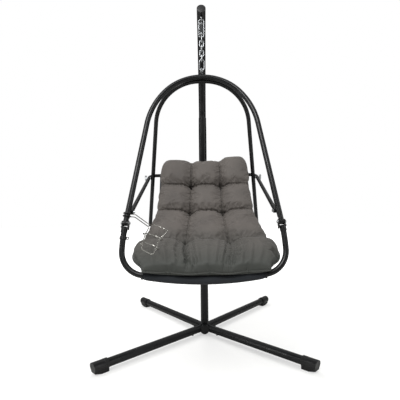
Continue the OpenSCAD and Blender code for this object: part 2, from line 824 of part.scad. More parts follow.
// Frame at the arm's end, +Z out of the tube
module arm_end() {
    translate([0, arm_end_y, arm_end_z])
        rotate([arm_end_a, 0, 0])
            children();
}

module arm() {
    color(frame_black)
        difference() {
            arm_route(arm_d, post_wall);
            post_bolt_holes(bolt_d + 2 * run_fit);
        }
}

module arm_plug() {
    stem = 16;
    rim = 2;
    crown = 1.5;
    color(plastic_black)
        arm_end() {
            translate([0, 0, -stem])
                cylinder(d = arm_d - 2 * post_wall - 2 * seat_gap, h = stem + rim / 2);
            translate([0, 0, seat_gap])
                cylinder(d = arm_d, h = rim);
            translate([0, 0, seat_gap + rim])
                dome(arm_d, crown);
        }
}

// Flat at the top of a bent wire's arch or link
wire_flat = 4;
draw_flat = 7;

module arm_staple() {
    rise = staple_axis_z - staple_bottom_z;
    past_tip = 20;
    color(bright_steel)
        difference() {
            translate([0, staple_y, staple_axis_z])
                rotate([180, 0, 90])
                    wire_arch(staple_wire, 2 * staple_r, rise, wire_flat);
            arm_end()
                translate([0, 0, -arm_tip])
                    cylinder(d = arm_d + 2 * seat_gap, h = arm_tip + past_tip);
        }
}

// ---------------------------------------------------------------- suspension

// End plate of the spring with two lugs on its own draw wire
module end_plate(z, own_y) {
    lip = 0.5;
    translate([0, coil_y, z])
        cylinder(d = coil_d + 2 * lip, h = plate_t);
    translate([-draw_half - draw_wire / 2, own_y - draw_wire / 2, z])
        cube([2 * draw_half + draw_wire, draw_wire, plate_t]);
}

module upper_draw_wire() {
    color(bright_steel) {
        translate([0, staple_y, lower_plate_z - plate_t / 2])
            wire_arch(draw_wire, 2 * draw_half, swing_z - lower_plate_z + plate_t / 2, draw_flat);
        end_plate(lower_plate_z - plate_t, staple_y);
    }
}

module coil_spring() {
    color(dull_steel)
        translate([0, coil_y, 0])
            swept(coil_route, coil_wire, coil_sides);
}

module lower_draw_wire() {
    color(bright_steel) {
        translate([0, hang_y, upper_plate_z - plate_t / 2])
            rotate([0, 180, 0])
                wire_arch(draw_wire, 2 * draw_half, upper_plate_z - plate_t / 2 - draw_bottom_z, draw_flat);
        end_plate(upper_plate_z - plate_t, hang_y);
    }
}

module chain_links() {
    color(bright_steel)
        for (k = [0 : chain_links_n - 1])
            translate([0, hang_y, chain_top_z - link_len / 2 - k * chain_pitch])
                rotate([0, 0, k % 2 == 0 ? 90 : 0])
                    link(chain_wire, link_w - chain_wire, link_len, wire_flat);
}

snap_turn_r = snap_w / 2 - 2;
snap_gate_low = snap_bottom_z + snap_turn_r + 4;
snap_gate_high = snap_top_z - snap_turn_r - 4;
tongue_t = 3;
tongue_eye_d = 5;
tongue_w = 4.8;
gate_pin_d = 2;
gate_pin_out = 1.2;
gate_d = 7;
gate_eye_d = 6.4;
slot_low = 5;
slot_high = 4;

// Hook body: a wire round three sides, with a flat tongue at each end of the gap
module snap_hook() {
    color(bright_steel)
        translate([0, hang_y, 0])
            difference() {
                union() {
                    translate([-snap_w / 2, 0, snap_top_z - snap_turn_r])
                        route([[snap_turn_r, 90], [snap_w - 2 * snap_turn_r], [snap_turn_r, 90],
                            [snap_len - 2 * snap_turn_r], [snap_turn_r, 90],
                            [snap_w - 2 * snap_turn_r], [snap_turn_r, 90]], snap_wire);
                    for (z = [snap_gate_low, snap_gate_high])
                        translate([-snap_w / 2, 0, z])
                            rotate([90, 0, 0])
                                cylinder(d = tongue_eye_d, h = tongue_t, center = true);
                    translate([-snap_w / 2 - tongue_w / 2, -tongue_t / 2, snap_bottom_z + snap_turn_r - 1])
                        cube([tongue_w, tongue_t, snap_gate_low - snap_bottom_z - snap_turn_r + 1]);
                    translate([-snap_w / 2 - tongue_w / 2, -tongue_t / 2, snap_gate_high])
                        cube([tongue_w, tongue_t, snap_top_z - snap_turn_r + 1 - snap_gate_high]);
                }
                translate([-snap_w / 2, 0, snap_gate_low])
                    rotate([90, 0, 0])
                        cylinder(d = gate_pin_d + 2 * run_fit, h = snap_wire, center = true, $fn = 24);
            }
}

// Gate: a slotted bar with its own cross pin at the lower end
module snap_gate() {
    low = snap_gate_low;
    high = snap_gate_high;
    color(dull_steel)
        translate([-snap_w / 2, hang_y, 0]) {
            difference() {
                union() {
                    translate([0, 0, low]) cylinder(d = gate_d, h = high - low, $fn = 24);
                    translate([0, 0, low]) rotate([90, 0, 0])
                        cylinder(d = gate_eye_d, h = tongue_t + 2 * gate_pin_out, center = true, $fn = 24);
                }
                translate([-gate_d, -tongue_t / 2 - link_gap, low - gate_d])
                    cube([2 * gate_d, tongue_t + 2 * link_gap, gate_d + slot_low]);
                translate([-gate_d, -tongue_t / 2 - link_gap, high - slot_high])
                    cube([2 * gate_d, tongue_t + 2 * link_gap, gate_d + slot_high]);
            }
            translate([0, 0, low]) rotate([90, 0, 0])
                cylinder(d = gate_pin_d, h = tongue_t + 2 * gate_pin_out, center = true, $fn = 24);
        }
}

module hang_ring() {
    color(bright_steel)
        translate([0, hang_y, (ring_top_z + ring_bottom_z) / 2])
            rotate([0, 0, 90 - ring_turn])
                link(ring_wire, ring_d, ring_d, wire_flat);
}

// ---------------------------------------------------------------- front arch

// Front arch from bolt to bolt, shortened at both ends by trim
module arch_route(d, wall, trim) {
    front_plane()
        translate([-bolt_u, -bolt_v, 0])
            heading_in(arch_splay)
                translate([0, 0, trim])
                    route([
                        [arch_side - trim],
                        [shoulder_r, shoulder_end - crown_half],
                        [crown_r, 2 * crown_half],
                        [shoulder_r, shoulder_end - crown_half],
                        [arch_side - trim]
                    ], d, wall);
}

module front_arch() {
    color(frame_black)
        arch_route(arch_d, chair_wall, tip_len);
}

// Room for the arch's crown, half degrees to each side of its top
module crown_cut(gap) {
    half = 20;
    front_plane()
        translate([0, -crown_r, 0])
            rotate([0, 0, 90 - half])
                sweep(crown_r, 2 * half)
                    section(arch_d + 2 * gap, 0);
}

module arch_staple() {
    width = 16;
    color(frame_black)
        difference() {
            translate([0, hang_y, arch_top_z])
                wire_arch(ring_wire, width, arch_staple_h, wire_flat);
            crown_cut(seat_gap);
        }
}

// Flat tip in each tube's end, round about the hinge bolt
module arch_tips() {
    root = 2;
    spigot = 27;
    color(frame_black)
        both_sides()
            side_frame()
                difference() {
                    union() {
                        intersection() {
                            rotate([-90, 0, 0])
                                cylinder(d = arch_d, h = tip_len - seat_gap);
                            rotate([0, 0, -arch_splay])
                                translate([-tip_w / 2, -tip_len * 2, -arch_d])
                                    cube([tip_w, tip_len * 4, 2 * arch_d]);
                        }
                        rotate([0, 0, -arch_splay])
                            cross_bar(arch_d - 1, tip_w);
                        translate([0, tip_len - root, 0])
                            rotate([-90, 0, 0])
                                cylinder(d = arch_d - 2 * chair_wall - 2 * seat_gap, h = spigot);
                    }
                    rotate([0, 0, -arch_splay])
                        cross_bar(bolt_d + hole_room, 2 * tip_w);
                }
}

module hinge_sleeve() {
    bore = rear_d + 2 * run_fit;
    color(frame_black)
        difference() {
            translate([0, hinge_y, hinge_z])
                cross_bar(rear_d + 2 * sleeve_wall, sleeve_len);
            translate([0, hinge_y, hinge_z])
                cross_bar(bore, sleeve_len + 2);
            crown_cut(seat_gap);
        }
}

// Ears welded behind the arch's sides, for the back rail
module rail_ears() {
    color(frame_black)
        both_sides()
            difference() {
                translate([ear_in_x + ear_t / 2, pivot.y, pivot.z])
                    rotate([-arch_tilt, 0, 0]) {
                        cross_bar(ear_w, ear_t);
                        translate([-ear_t / 2, -ear_off, -ear_w / 2])
                            cube([ear_t, ear_off, ear_w]);
                    }
                translate([ear_in_x, pivot.y, pivot.z])
                    cross_bar(bolt_d + hole_room, 4 * ear_t);
                side_frame()
                    rotate([-90, 0, 0])
                        cylinder(d = arch_d + 2 * seat_gap, h = arch_side);
            }
}

module ear_bolts() {
    inner = pivot.x - eye_w / 2 - link_gap;
    outer = ear_in_x + ear_t + seat_gap;
    inner_head = 6;
    color(bright_steel)
        both_sides()
            translate([inner, pivot.y, pivot.z])
                rotate([0, 90, 0]) {
                    translate([0, 0, -inner_head])
                        cylinder(d = bolt_d, h = outer - inner + inner_head);
                    translate([0, 0, -inner_head])
                        cylinder(d = head_d - 2, h = inner_head);
                    translate([0, 0, outer - inner])
                        dome(head_d, head_h);
                }
}

clevis_in = tip_w / 2 + link_gap;
clevis_out = clevis_in + clevis_ear;

module hinge_bolts() {
    half = clevis_out + seat_gap;
    color(bright_steel)
        both_sides()
            translate(bolt_point)
                rotate([0, 90, 0]) {
                    cylinder(d = bolt_d, h = 2 * half, center = true);
                    for (a = [0, 180])
                        rotate([0, a, 0])
                            translate([0, 0, half])
                                dome(head_d + 1, head_h + 2);
                }
}

// ---------------------------------------------------------------- rear arch and back rail

module rear_arch() {
    color(frame_black)
        rear_plane()
            translate([-rear_end_u, -rear_end_v, 0])
                heading_in(rear_splay)
                    route([[rear_side], [rear_r, rear_bend], [rear_top], [rear_r, rear_bend], [rear_side]],
                        rear_d, chair_wall);
}

module rear_caps() {
    stem = 14;
    rim = 2;
    crown = 3;
    color(plastic_black)
        both_sides()
            rear_plane()
                translate([rear_end_u, -rear_end_v, 0])
                    rotate([0, 0, rear_splay])
                        rotate([90, 0, 0]) {
                            translate([0, 0, -stem])
                                cylinder(d = rear_d - 2 * chair_wall - 2 * seat_gap, h = stem + rim / 2);
                            translate([0, 0, seat_gap])
                                cylinder(d = rear_d, h = rim);
                            translate([0, 0, seat_gap + rim])
                                dome(rear_d, crown);
                        }
}

module back_rail() {
    start = 5;
    color(frame_black)
        difference() {
            union() {
                back_plane()
                    translate([-pivot.x, 0, 0])
                        heading_in(back_toe)
                            translate([0, 0, start])
                                route([[back_arm - start], [back_corner_r, 90 - back_toe], [crossbar.x],
                                    [back_corner_r, 90 - back_toe], [back_arm - start]], back_d, chair_wall);
                both_sides()
                    translate([pivot.x, pivot.y, pivot.z])
                        cross_bar(back_d + 1, eye_w);
            }
            both_sides() {
                translate([pivot.x, pivot.y, pivot.z])
                    cross_bar(bolt_d + 2 * run_fit, 2 * back_d);
                translate([lock_arm_x, lock_y, lock_z])
                    cross_bar(bolt_d + hole_room, 2 * back_d);
            }
        }
}

// Pocket of the sling round the crossbar
module back_hem() {
    color(cloth_black)
        translate([0, crossbar.y, crossbar.z])
            difference() {
                cross_bar(back_hem_d, 2 * sling_half);
                cross_bar(back_d + 2 * seat_gap, 2 * sling_half + 2);
            }
}

// Lock bolts through the arms; their tips stop just short of the rear arch
module lock_bolts() {
    tip_x = lock_rear_x + 1;
    thread_out = 12;
    washer_t = lock_arm_x - back_d / 2 - tip_x - 2 * seat_gap;
    color(bright_steel)
        both_sides()
            translate([tip_x, lock_y, lock_z])
                rotate([0, 90, 0]) {
                    cylinder(d = bolt_d, h = lock_arm_x + back_d / 2 + thread_out - tip_x);
                    translate([0, 0, seat_gap])
                        cylinder(d = head_d - 1, h = washer_t);
                }
}

module lock_wings() {
    face = lock_arm_x + back_d / 2 + seat_gap;
    flange_t = 3;
    boss_d = 12.5;
    boss_h = 9;
    wing = [13, 3, 11];
    wing_turn = 35;
    wing_tilt = 20;
    color(bright_steel)
        both_sides()
            translate([face, lock_y, lock_z])
                rotate([0, 90, 0])
                    difference() {
                        union() {
                            cylinder(d = head_d, h = flange_t);
                            cylinder(d = boss_d, h = boss_h);
                            for (a = [wing_turn, wing_turn + 180])
                                rotate([0, 0, a])
                                    translate([4.5, -wing.y / 2, flange_t])
                                        rotate([0, wing_tilt, 0])
                                            cube(wing);
                        }
                        translate([0, 0, -1])
                            cylinder(d = bolt_d + hole_room, h = 2 * boss_h + 2);
                    }
}

// ---------------------------------------------------------------- seat rail

// Seat rail from side to side; skip leaves out its first stretch below the bolts
module rail_route(d, wall, skip) {
    side_turn = arch_splay - skip / rail_side_r * 180 / PI;
    front_plane()
        both_sides()
            translate([0, -rail_bottom_v, 0])
                rotate([0, 90, 0]) {
                    rail_half(d, wall, side_turn);
                }
}

// Half of the rail from the bow's middle, heading +Z and turning towards +X
module rail_half(d, wall, side_turn) {
    rotate([0, 0, 90])
        route([
            [rail_bow_r, rail_bow_half], [rail_corner_r, rail_corner_a], [rail_side_r, side_turn]
        ], d, wall);
}

module seat_rail() {
    color(frame_black)
        rail_route(arch_d, chair_wall, clevis_trim);
}

// Frame on the right hinge bolt for the rail's end, with Y down along its start
module clevis_frame() {
    front_plane()
        translate([bolt_u, -bolt_v, 0])
            rotate([0, 0, arch_splay - clevis_trim / rail_side_r * 90 / PI])
                rotate([180, 0, 0])
                    children();
}

module rail_clevises() {
    ear_depth = arch_d - 1;
    bridge_depth = ear_depth - 2;
    bridge_t = 6;
    color(frame_black)
        both_sides()
            difference() {
                union() {
                    clevis_frame()
                        translate([0, clevis_drop, 0])
                            rotate([-90, 0, 0])
                                cylinder(d = arch_d + 2 * seat_gap + 2 * clevis_wall, h = clevis_len);
                    front_plane()
                        translate([bolt_u, -bolt_v, 0])
                            for (x = [-clevis_out, clevis_in])
                                translate([x, 0, 0]) {
                                    translate([0, -clevis_drop - clevis_len / 2, -ear_depth / 2])
                                        cube([clevis_ear, clevis_drop + clevis_len / 2, ear_depth]);
                                    translate([clevis_ear / 2, 0, 0])
                                        cross_bar(2 * min(clevis_top, ear_depth / 2), clevis_ear);
                                }
                    clevis_frame()
                        translate([-clevis_out, clevis_drop, -bridge_depth / 2])
                            cube([2 * clevis_out, bridge_t, bridge_depth]);
                }
                front_plane()
                    translate([bolt_u, -bolt_v, 0])
                        cross_bar(bolt_d + 2 * run_fit, 6 * clevis_out);
                rail_side_bore(clevis_trim - seat_gap, clevis_len + clevis_wall);
            }
}

// Room for the rail's curved side, from a distance below the hinge bolt on
module rail_side_bore(below, len) {
    deg_per_mm = 180 / PI / rail_side_r;
    front_plane()
        translate([rail_side_u - rail_side_r, -rail_side_v, 0])
            rotate([0, 0, arch_splay - (below + len) * deg_per_mm])
                sweep(rail_side_r, len * deg_per_mm)
                    section(arch_d + 2 * seat_gap, 0);
}

// Round section swept along the rail's bow, half degrees to each side
module bow_sweep(d, wall, half) {
    front_plane()
        translate([0, rail_bow_r - rail_bottom_v, 0])
            rotate([0, 0, -90 - half])
                sweep(rail_bow_r, 2 * half)
                    section(d, wall);
}

// Hem of the sling round the rail's bow
module rail_hem() {
    color(cloth_black)
        bow_sweep(hem_d, (hem_d - arch_d) / 2 - seat_gap, hem_half);
}

// Ties that close the hem's ends
tie_len = 6;
tie_t = 2.5;
tie_in = tie_len / 2 / rail_bow_r * 180 / PI;

module hem_ties() {
    color(plastic_black)
        front_plane()
            translate([0, rail_bow_r - rail_bottom_v, 0])
                for (a = [-hem_half + tie_in, hem_half - tie_in])
                    rotate([0, 0, -90 + a])
                        translate([rail_bow_r, 0, 0])
                            rotate([90, 0, 0])
                                difference() {
                                    cylinder(d = hem_d + 2 * tie_t, h = tie_len, center = true);
                                    cylinder(d = hem_d + 2 * seat_gap, h = 2 * tie_len, center = true);
                                }
}

// Collar on the left side of the seat rail, with a small ring
module tube_ring() {
    drop = 66;
    collar_t = 2.5;
    collar_h = 12;
    eye_r = 5;
    eye_wire = 3.5;
    eye_out = 7.2;
    turn = drop / rail_side_r * 180 / PI;
    color(plastic_black)
        mirror([1, 0, 0])
            front_plane()
                translate([
                    rail_side_u - rail_side_r * (1 - cos(arch_splay - turn)),
                    -(rail_side_v - rail_side_r * sin(arch_splay - turn)),
                    0
                ])
                    rotate([0, 0, arch_splay - turn])
                        rotate([-90, 0, 0]) {
                            difference() {
                                cylinder(d = arch_d + 2 * collar_t, h = collar_h, center = true);
                                cylinder(d = arch_d + 2 * seat_gap, h = collar_h + 2, center = true);
                            }
                            translate([-arch_d / 2 - eye_out, 0, 0])
                                rotate([90, 0, 0])
                                    rotate_extrude()
                                        translate([eye_r, 0]) circle(d = eye_wire, $fn = 24);
                        }
}

// ---------------------------------------------------------------- cloth

module sling() {
    upper = [for (i = [0 : sling_cuts]) let (t = i / sling_cuts) sling_at(t) + sling_t / 2 * sling_normal(t)];
    lower = [for (i = [sling_cuts : -1 : 0]) let (t = i / sling_cuts)
        sling_at(t) - sling_t / 2 * sling_normal(t)];
    color(cloth_black)
        difference() {
            rotate([90, 0, 90])
                linear_extrude(2 * sling_half, center = true)
                    polygon(concat(upper, lower));
            bow_sweep(hem_d + 2 * link_gap, 0, hem_half);
        }
}

module cushion() {
    n = across + 1;
    low = (along + 1) * n;
    points = concat(
        [for (i = [0 : along], j = [0 : across]) cushion_point(i, j, true)],
        [for (i = [0 : along], j = [0 : across]) cushion_point(i, j, false)]
    );
    quads = concat(
        [for (i = [0 : along - 1], j = [0 : across - 1])
            [i * n + j, (i + 1) * n + j, (i + 1) * n + j + 1, i * n + j + 1]],
        [for (i = [0 : along - 1], j = [0 : across - 1])
            [low + i * n + j, low + i * n + j + 1, low + (i + 1) * n + j + 1, low + (i + 1) * n + j]],
        [for (i = [0 : along - 1])
            [i * n, low + i * n, low + (i + 1) * n, (i + 1) * n]],
        [for (i = [0 : along - 1])
            [i * n + across, (i + 1) * n + across, low + (i + 1) * n + across, low + i * n + across]],
        [for (j = [0 : across - 1])
            [j, j + 1, low + j + 1, low + j]],
        [for (j = [0 : across - 1])
            [along * n + j, low + along * n + j, low + along * n + j + 1, along * n + j + 1]]
    );
    color(cushion_grey)
        polyhedron(points, [for (q = quads, half = [0, 1])
            half == 0 ? [q[0], q[1], q[2]] : [q[0], q[2], q[3]]]);
}

// ---------------------------------------------------------------- bottle holder

// Half hoop behind the basket's front loop
module hoop(z, half) {
    back = sqrt(hoop_r * hoop_r - half * half);
    start = atan2(-back, half);
    translate(basket_point(0, back, z))
        rotate([0, basket_lean, 0])
            rotate([0, 0, start])
                rotate_extrude(angle = 180 - 2 * start)
                    translate([hoop_r, 0])
                        circle(d = holder_wire, $fn = 24);
}

module bottle_holder() {
    foot_half = 25;
    arm_in = basket_point(-24, 0, basket_rim_z - 9);
    meet = basket_point(rim_meet.x, rim_meet.y, basket_rim_z);
    color(bright_steel) {
        wire([
            side_point(grip_low, grip_r, 0),
            side_point(grip_low, grip_r + arm_out, arm_ahead),
            arm_in,
            basket_point(-loop_half, 0, high_hoop_z),
            basket_point(-foot_half, 0, holder_wire),
            basket_point(foot_half, 0, holder_wire - 7),
            basket_point(loop_half, 0, low_hoop_z),
            basket_point(loop_half, 0, high_hoop_z),
            meet
        ], holder_wire);
        wire([
            side_point(grip_low + grip_step, grip_r, 0),
            side_point(grip_low + grip_step, grip_r + arm_out, arm_ahead),
            for (p = [[-30, 14], [-24, 50], [10, 66], [42, 44]])
                basket_point(p.x, p.y, basket_rim_z),
            meet
        ], holder_wire);
        translate(meet)
            sphere(d = holder_wire * 1.15, $fn = 24);
        hoop(high_hoop_z, loop_half);
        hoop(low_hoop_z, loop_half);
    }
}

// Dipped grips that hook round the arch's left side
module holder_grips() {
    grip_start = 190;
    color(plastic_black)
        mirror([1, 0, 0])
            side_frame()
                for (g = [grip_low, grip_low + grip_step])
                    translate([0, g, 0])
                        rotate([-90, 0, 0])
                            rotate([0, 0, grip_start])
                                rotate_extrude(angle = grip_wrap)
                                    translate([grip_r, 0])
                                        circle(d = grip_d, $fn = 24);
}

// ---------------------------------------------------------------- nodes

hub();
hub_plugs();
hub_pad();
front_leg_left();
front_leg_right();
rear_leg_left();
rear_leg_right();
front_foot_left();
front_foot_right();
rear_foot_left();
rear_foot_right();
leg_bolts();
post();
post_bolts();
arm();
arm_plug();
arm_staple();
upper_draw_wire();
coil_spring();
lower_draw_wire();
chain_links();
snap_hook();
snap_gate();
hang_ring();
front_arch();
arch_staple();
arch_tips();
hinge_sleeve();
rail_ears();
ear_bolts();
hinge_bolts();
rear_arch();
rear_caps();
back_rail();
back_hem();
lock_bolts();
lock_wings();
seat_rail();
rail_clevises();
rail_hem();
hem_ties();
tube_ring();
sling();
cushion();
bottle_holder();
holder_grips();
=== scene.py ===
"""Dresses the hanging egg chair: fabric, wire, welds, finishes and the studio it stands in."""

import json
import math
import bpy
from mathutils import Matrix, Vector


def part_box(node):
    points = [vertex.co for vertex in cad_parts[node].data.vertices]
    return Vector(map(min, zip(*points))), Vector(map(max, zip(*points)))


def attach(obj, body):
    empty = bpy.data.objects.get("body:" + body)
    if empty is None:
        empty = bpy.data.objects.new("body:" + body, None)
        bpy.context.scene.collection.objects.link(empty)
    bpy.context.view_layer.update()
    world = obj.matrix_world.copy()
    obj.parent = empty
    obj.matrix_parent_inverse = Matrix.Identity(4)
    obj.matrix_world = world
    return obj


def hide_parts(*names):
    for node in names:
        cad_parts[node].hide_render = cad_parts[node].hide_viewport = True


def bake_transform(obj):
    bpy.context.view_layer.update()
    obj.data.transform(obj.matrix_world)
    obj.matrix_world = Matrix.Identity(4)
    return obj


bl_info = {
    "name": "Hanging egg chair",
    "version": (1, 0, 0),
    "blender": (4, 5, 0),
    "location": "3D View > Sidebar > Egg chair",
    "description": "Builds the soft goods, small hardware and finishes of a folding hanging egg chair",
    "category": "Add Mesh",
}

import bpy
import numpy as np
from mathutils import Matrix, Vector

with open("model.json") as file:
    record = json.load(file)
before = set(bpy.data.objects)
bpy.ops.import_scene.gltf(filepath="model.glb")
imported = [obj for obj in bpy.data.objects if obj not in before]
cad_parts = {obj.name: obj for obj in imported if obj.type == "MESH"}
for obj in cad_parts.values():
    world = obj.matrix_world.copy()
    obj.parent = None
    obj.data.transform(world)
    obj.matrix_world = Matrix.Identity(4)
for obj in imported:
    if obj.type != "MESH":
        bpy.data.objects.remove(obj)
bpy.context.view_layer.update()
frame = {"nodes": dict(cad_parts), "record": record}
MM = 0.001

# The chair's own layout, in millimetres and radians, as the solids have it
HANG_Y, ARCH_TOP_Z, ARCH_TILT = -500.02, 1481.0, math.radians(18.26)
BOLT_U, BOLT_V, ARCH_SPLAY = 341.781, 759.723, math.radians(8.5)
BOW_R, BOW_V, HEM_HALF = 1499.74, 1007.75, math.radians(10)
HEM_D, BACK_HEM_D, HEM_SAG = 31.0, 24.0, 1.3
CROSSBAR = (-211.32, 1004.12)
SLING_HALF, SLING_T = 251.0, 2.4
SLING_CURVE = ((-809.779, 541.29), (-560.779, 581.29), (-358.12, 691.12), (-225.12, 1004.12))
# Place of the crease on the sling's curve
CREASE_T = 0.66
# Heights between which the cover turns from its top's colour to the painted shade of its down-facing front
# lip, darker and greener, and depth of the cloths' relief
FRONT_SHADE_HEIGHTS, CLOTH_RELIEF = (0.735, 0.60), 0.0012
# Scale of a wave texture whose bands lie one metre apart: a tenth of pi
BAND_SCALE = 0.314159
# Points for the seat and the back where the cloth would stop following the chair and start following its
# folding rail; the code does not use them
SEAT_BEND = ((0, -0.50, 0.755), (0, -0.80, 0.62))
BACK_BEND = ((0, -0.40, 0.86), (0, -0.25, 1.00))


# ---- settings


def number_prop(name, text, default, **limits):
    """Number that a user may change."""
    return bpy.props.FloatProperty(name=name, description=text, default=default, **limits)


def length_prop(name, text, default):
    """Size in metres that a user may change."""
    return number_prop(name, text, default, min=0.0, unit="LENGTH", subtype="DISTANCE", precision=4)


def colour_prop(name, text, value):
    """Colour that a user may change."""
    return bpy.props.FloatVectorProperty(name=name, description=text, default=hex_linear(value),
                                         size=4, min=0.0, max=1.0, subtype="COLOR")


def hex_linear(value):
    """Linear RGBA of an sRGB hex colour."""
    parts = [int(value[i:i + 2], 16) / 255 for i in (1, 3, 5)]
    return tuple(c / 12.92 if c <= 0.04045 else ((c + 0.055) / 1.055) ** 2.4 for c in parts) + (1.0,)


class EggFinishSettings(bpy.types.PropertyGroup):
    """Colours and grain of the hard surfaces"""

    powder_dark: colour_prop("Powder coat, dark", "Darker tone of the tubes' powder coat", "#0e0f10")
    powder_light: colour_prop("Powder coat, light", "Lighter tone of the tubes' powder coat", "#161718")
    peel_pitch: length_prop("Orange peel", "Size of the powder coat's ripples", 0.004)
    plastic: colour_prop("Plastic", "Colour of feet, plugs, ties and dipped grips", "#131314")
    zinc: colour_prop("Zinc", "Colour of the plated chain, hook and bolts", "#c3c6c8")
    chrome: colour_prop("Chrome", "Colour of the bottle holder's wire", "#c4c2bc")
    spring: colour_prop("Spring steel", "Colour of the coil spring", "#8b8d8f")


class EggFabricSettings(bpy.types.PropertyGroup):
    """Cloth colours and the cushion's make"""

    cushion_dark: colour_prop("Cushion, dark", "Darker yarn of the cushion's cover", "#5b5652")
    cushion_light: colour_prop("Cushion, light", "Lighter yarn of the cushion's cover", "#68625d")
    # Painted shade: the cover's front lip gets this darker, greener colour in place of the shade and
    # reflection it gets from the light
    cushion_front_shade: colour_prop("Cushion, front", "Colour of the cover's front panel", "#434541")
    sling: colour_prop("Sling", "Colour of the sling's cloth", "#23262a")
    thread: colour_prop("Thread", "Colour of the sewing thread", "#383634")
    yarn_pitch: length_prop("Yarn pitch", "Distance between yarns, drawn coarser than the real 0.6 mm",
                            0.0032)
    seam_draw: number_prop("Seam draw", "Share of a puff that its seams pull in", 0.15, min=0.0, max=0.6)
    tuft_draw: number_prop("Tuft draw", "Further share that a tuft pulls in", 0.36, min=0.0, max=0.6)
    seam_depth: length_prop("Seam depth", "Depth of the fold along a seam", 0.009)
    tuft_depth: length_prop("Tuft depth", "Further depth of the pit at a tuft", 0.012)
    fold_height: length_prop("Fold height", "Height of the folds that run out from a tuft", 0.0016)
    fill_share: number_prop("Unfilled share", "Height of the cover before it is filled", 0.80,
                            min=0.3, max=1.0)
    puff_pressure: number_prop("Filling pressure", "Pressure of the filling on the cover", 4.0,
                               min=0.0, max=12.0)
    swell_cap: length_prop("Swell cap", "Furthest that the filling may move the cover", 0.026)
    stitch_pitch: length_prop("Stitch pitch", "Distance between stitches on the sling", 0.009)
    stitch_len: length_prop("Stitch length", "Length of one stitch", 0.006)


class EggHardwareSettings(bpy.types.PropertyGroup):
    """Wire, welds and foot ribs"""

    wire_d: length_prop("Holder wire", "Diameter of the bottle holder's wire", 0.004)
    wire_bend: length_prop("Wire bend", "Radius of the bends in the holder's wire", 0.009)
    weld_pitch: length_prop("Weld pitch", "Distance between the ripples of a weld", 0.0022)
    weld_w: length_prop("Weld width", "Width of a weld bead", 0.0042)
    rib_d: length_prop("Foot rib", "Thickness of the ribs round a foot's mouth", 0.0026)
    rib_pitch: length_prop("Rib pitch", "Distance between those ribs", 0.009)


class EggStageSettings(bpy.types.PropertyGroup):
    """Floor, light and camera"""

    floor: colour_prop("Floor", "Colour of the floor", "#b5b5b3")
    eye_height: length_prop("Eye height", "Height of the camera", 0.858)
    eye_distance: length_prop("Eye distance", "Distance of the camera in front of the post", 2.2727)
    lens: number_prop("Lens", "Focal length", 31.5, min=10, max=200, subtype="DISTANCE_CAMERA")
    roll: number_prop("Roll", "Camera's roll", math.radians(0.65), subtype="ANGLE", unit="ROTATION")
    key_power: number_prop("Key light", "Power of the key light", 38, min=0, unit="POWER")


# ---- materials


def add(tree, kind, inputs=None, **settings):
    """New node with its settings, and its inputs set or linked by name or number."""
    made = tree.nodes.new(kind)
    for key, value in settings.items():
        setattr(made, key, value)
    for key, value in (inputs or {}).items():
        if isinstance(value, bpy.types.NodeSocket):
            tree.links.new(value, made.inputs[key])
        else:
            made.inputs[key].default_value = value
    return made


def start_material(name):
    """Material with an empty tree, its tree, and the piece's own space and UV map, both in metres."""
    material = bpy.data.materials.get(name) or bpy.data.materials.new(name)
    material.use_nodes = True
    tree = material.node_tree
    tree.nodes.clear()
    places = add(tree, "ShaderNodeTexCoord").outputs
    return material, tree, places["Object"], places["UV"]


def end_material(material, height, depth, inputs, strength=1.0):
    """The material with its shader, whose relief is depth metres deep."""
    tree = material.node_tree
    relief = add(tree, "ShaderNodeBump", {"Height": height, "Distance": depth, "Strength": strength})
    shader = add(tree, "ShaderNodeBsdfPrincipled", {**inputs, "Normal": relief.outputs[0]})
    add(tree, "ShaderNodeOutputMaterial", {0: shader.outputs[0]})
    return material


def patchy(tree, where, size, low=0.0, high=1.0, detail=3.0, edges=(0.3, 0.7)):
    """Value that drifts from low to high over patches of about size metres, harder with closer edges."""
    cloud = add(tree, "ShaderNodeTexNoise", {"Vector": where, "Scale": 1 / size, "Detail": detail})
    return add(tree, "ShaderNodeMapRange", {"Value": cloud.outputs["Fac"], "From Min": edges[0],
                                            "From Max": edges[1], "To Min": low, "To Max": high}).outputs[0]


def powder_coated_steel(settings):
    """Steel tube with a baked polyester powder coat: near black, satin, with a soft orange peel."""
    material, tree, where, _ = start_material("powder_coated_steel")
    tone = add(tree, "ShaderNodeMix", {0: patchy(tree, where, 0.09, edges=(0.35, 0.65)),
                                       6: settings.powder_dark, 7: settings.powder_light}, data_type="RGBA")
    peel = add(tree, "ShaderNodeTexNoise", {"Vector": where, "Scale": 1 / settings.peel_pitch, "Detail": 1})
    return end_material(material, peel.outputs["Fac"], 0.00012, {
        "Base Color": tone.outputs[2], "Roughness": patchy(tree, where, 0.05, 0.25, 0.36, detail=2),
        "Specular IOR Level": 0.36, "Coat Weight": 0.03, "Coat Roughness": 0.2})


def moulded_polypropylene(settings):
    """Injection-moulded polypropylene: black, dull, with a fine spark-eroded grain."""
    material, tree, where, _ = start_material("moulded_polypropylene")
    grain = add(tree, "ShaderNodeTexNoise", {"Vector": where, "Scale": 1 / 0.0022, "Detail": 2})
    return end_material(material, grain.outputs["Fac"], 0.0001, {
        "Base Color": settings.plastic, "Roughness": patchy(tree, where, 0.03, 0.32, 0.46), "IOR": 1.49})


def plated_metal(name, colour, low, high, grain):
    """Bright metal whose polish and tone vary a little along it."""
    material, tree, where, _ = start_material(name)
    dull = (*(c * 0.82 for c in colour[:3]), 1.0)
    tone = add(tree, "ShaderNodeMix", {0: patchy(tree, where, 0.02, edges=(0.4, 0.7)), 6: colour, 7: dull},
               data_type="RGBA")
    marks = add(tree, "ShaderNodeTexNoise", {"Vector": where, "Scale": 1 / grain, "Detail": 2})
    return end_material(material, marks.outputs["Fac"], 0.00005, {
        "Base Color": tone.outputs[2], "Roughness": patchy(tree, where, 0.012, low, high), "Metallic": 1.0})


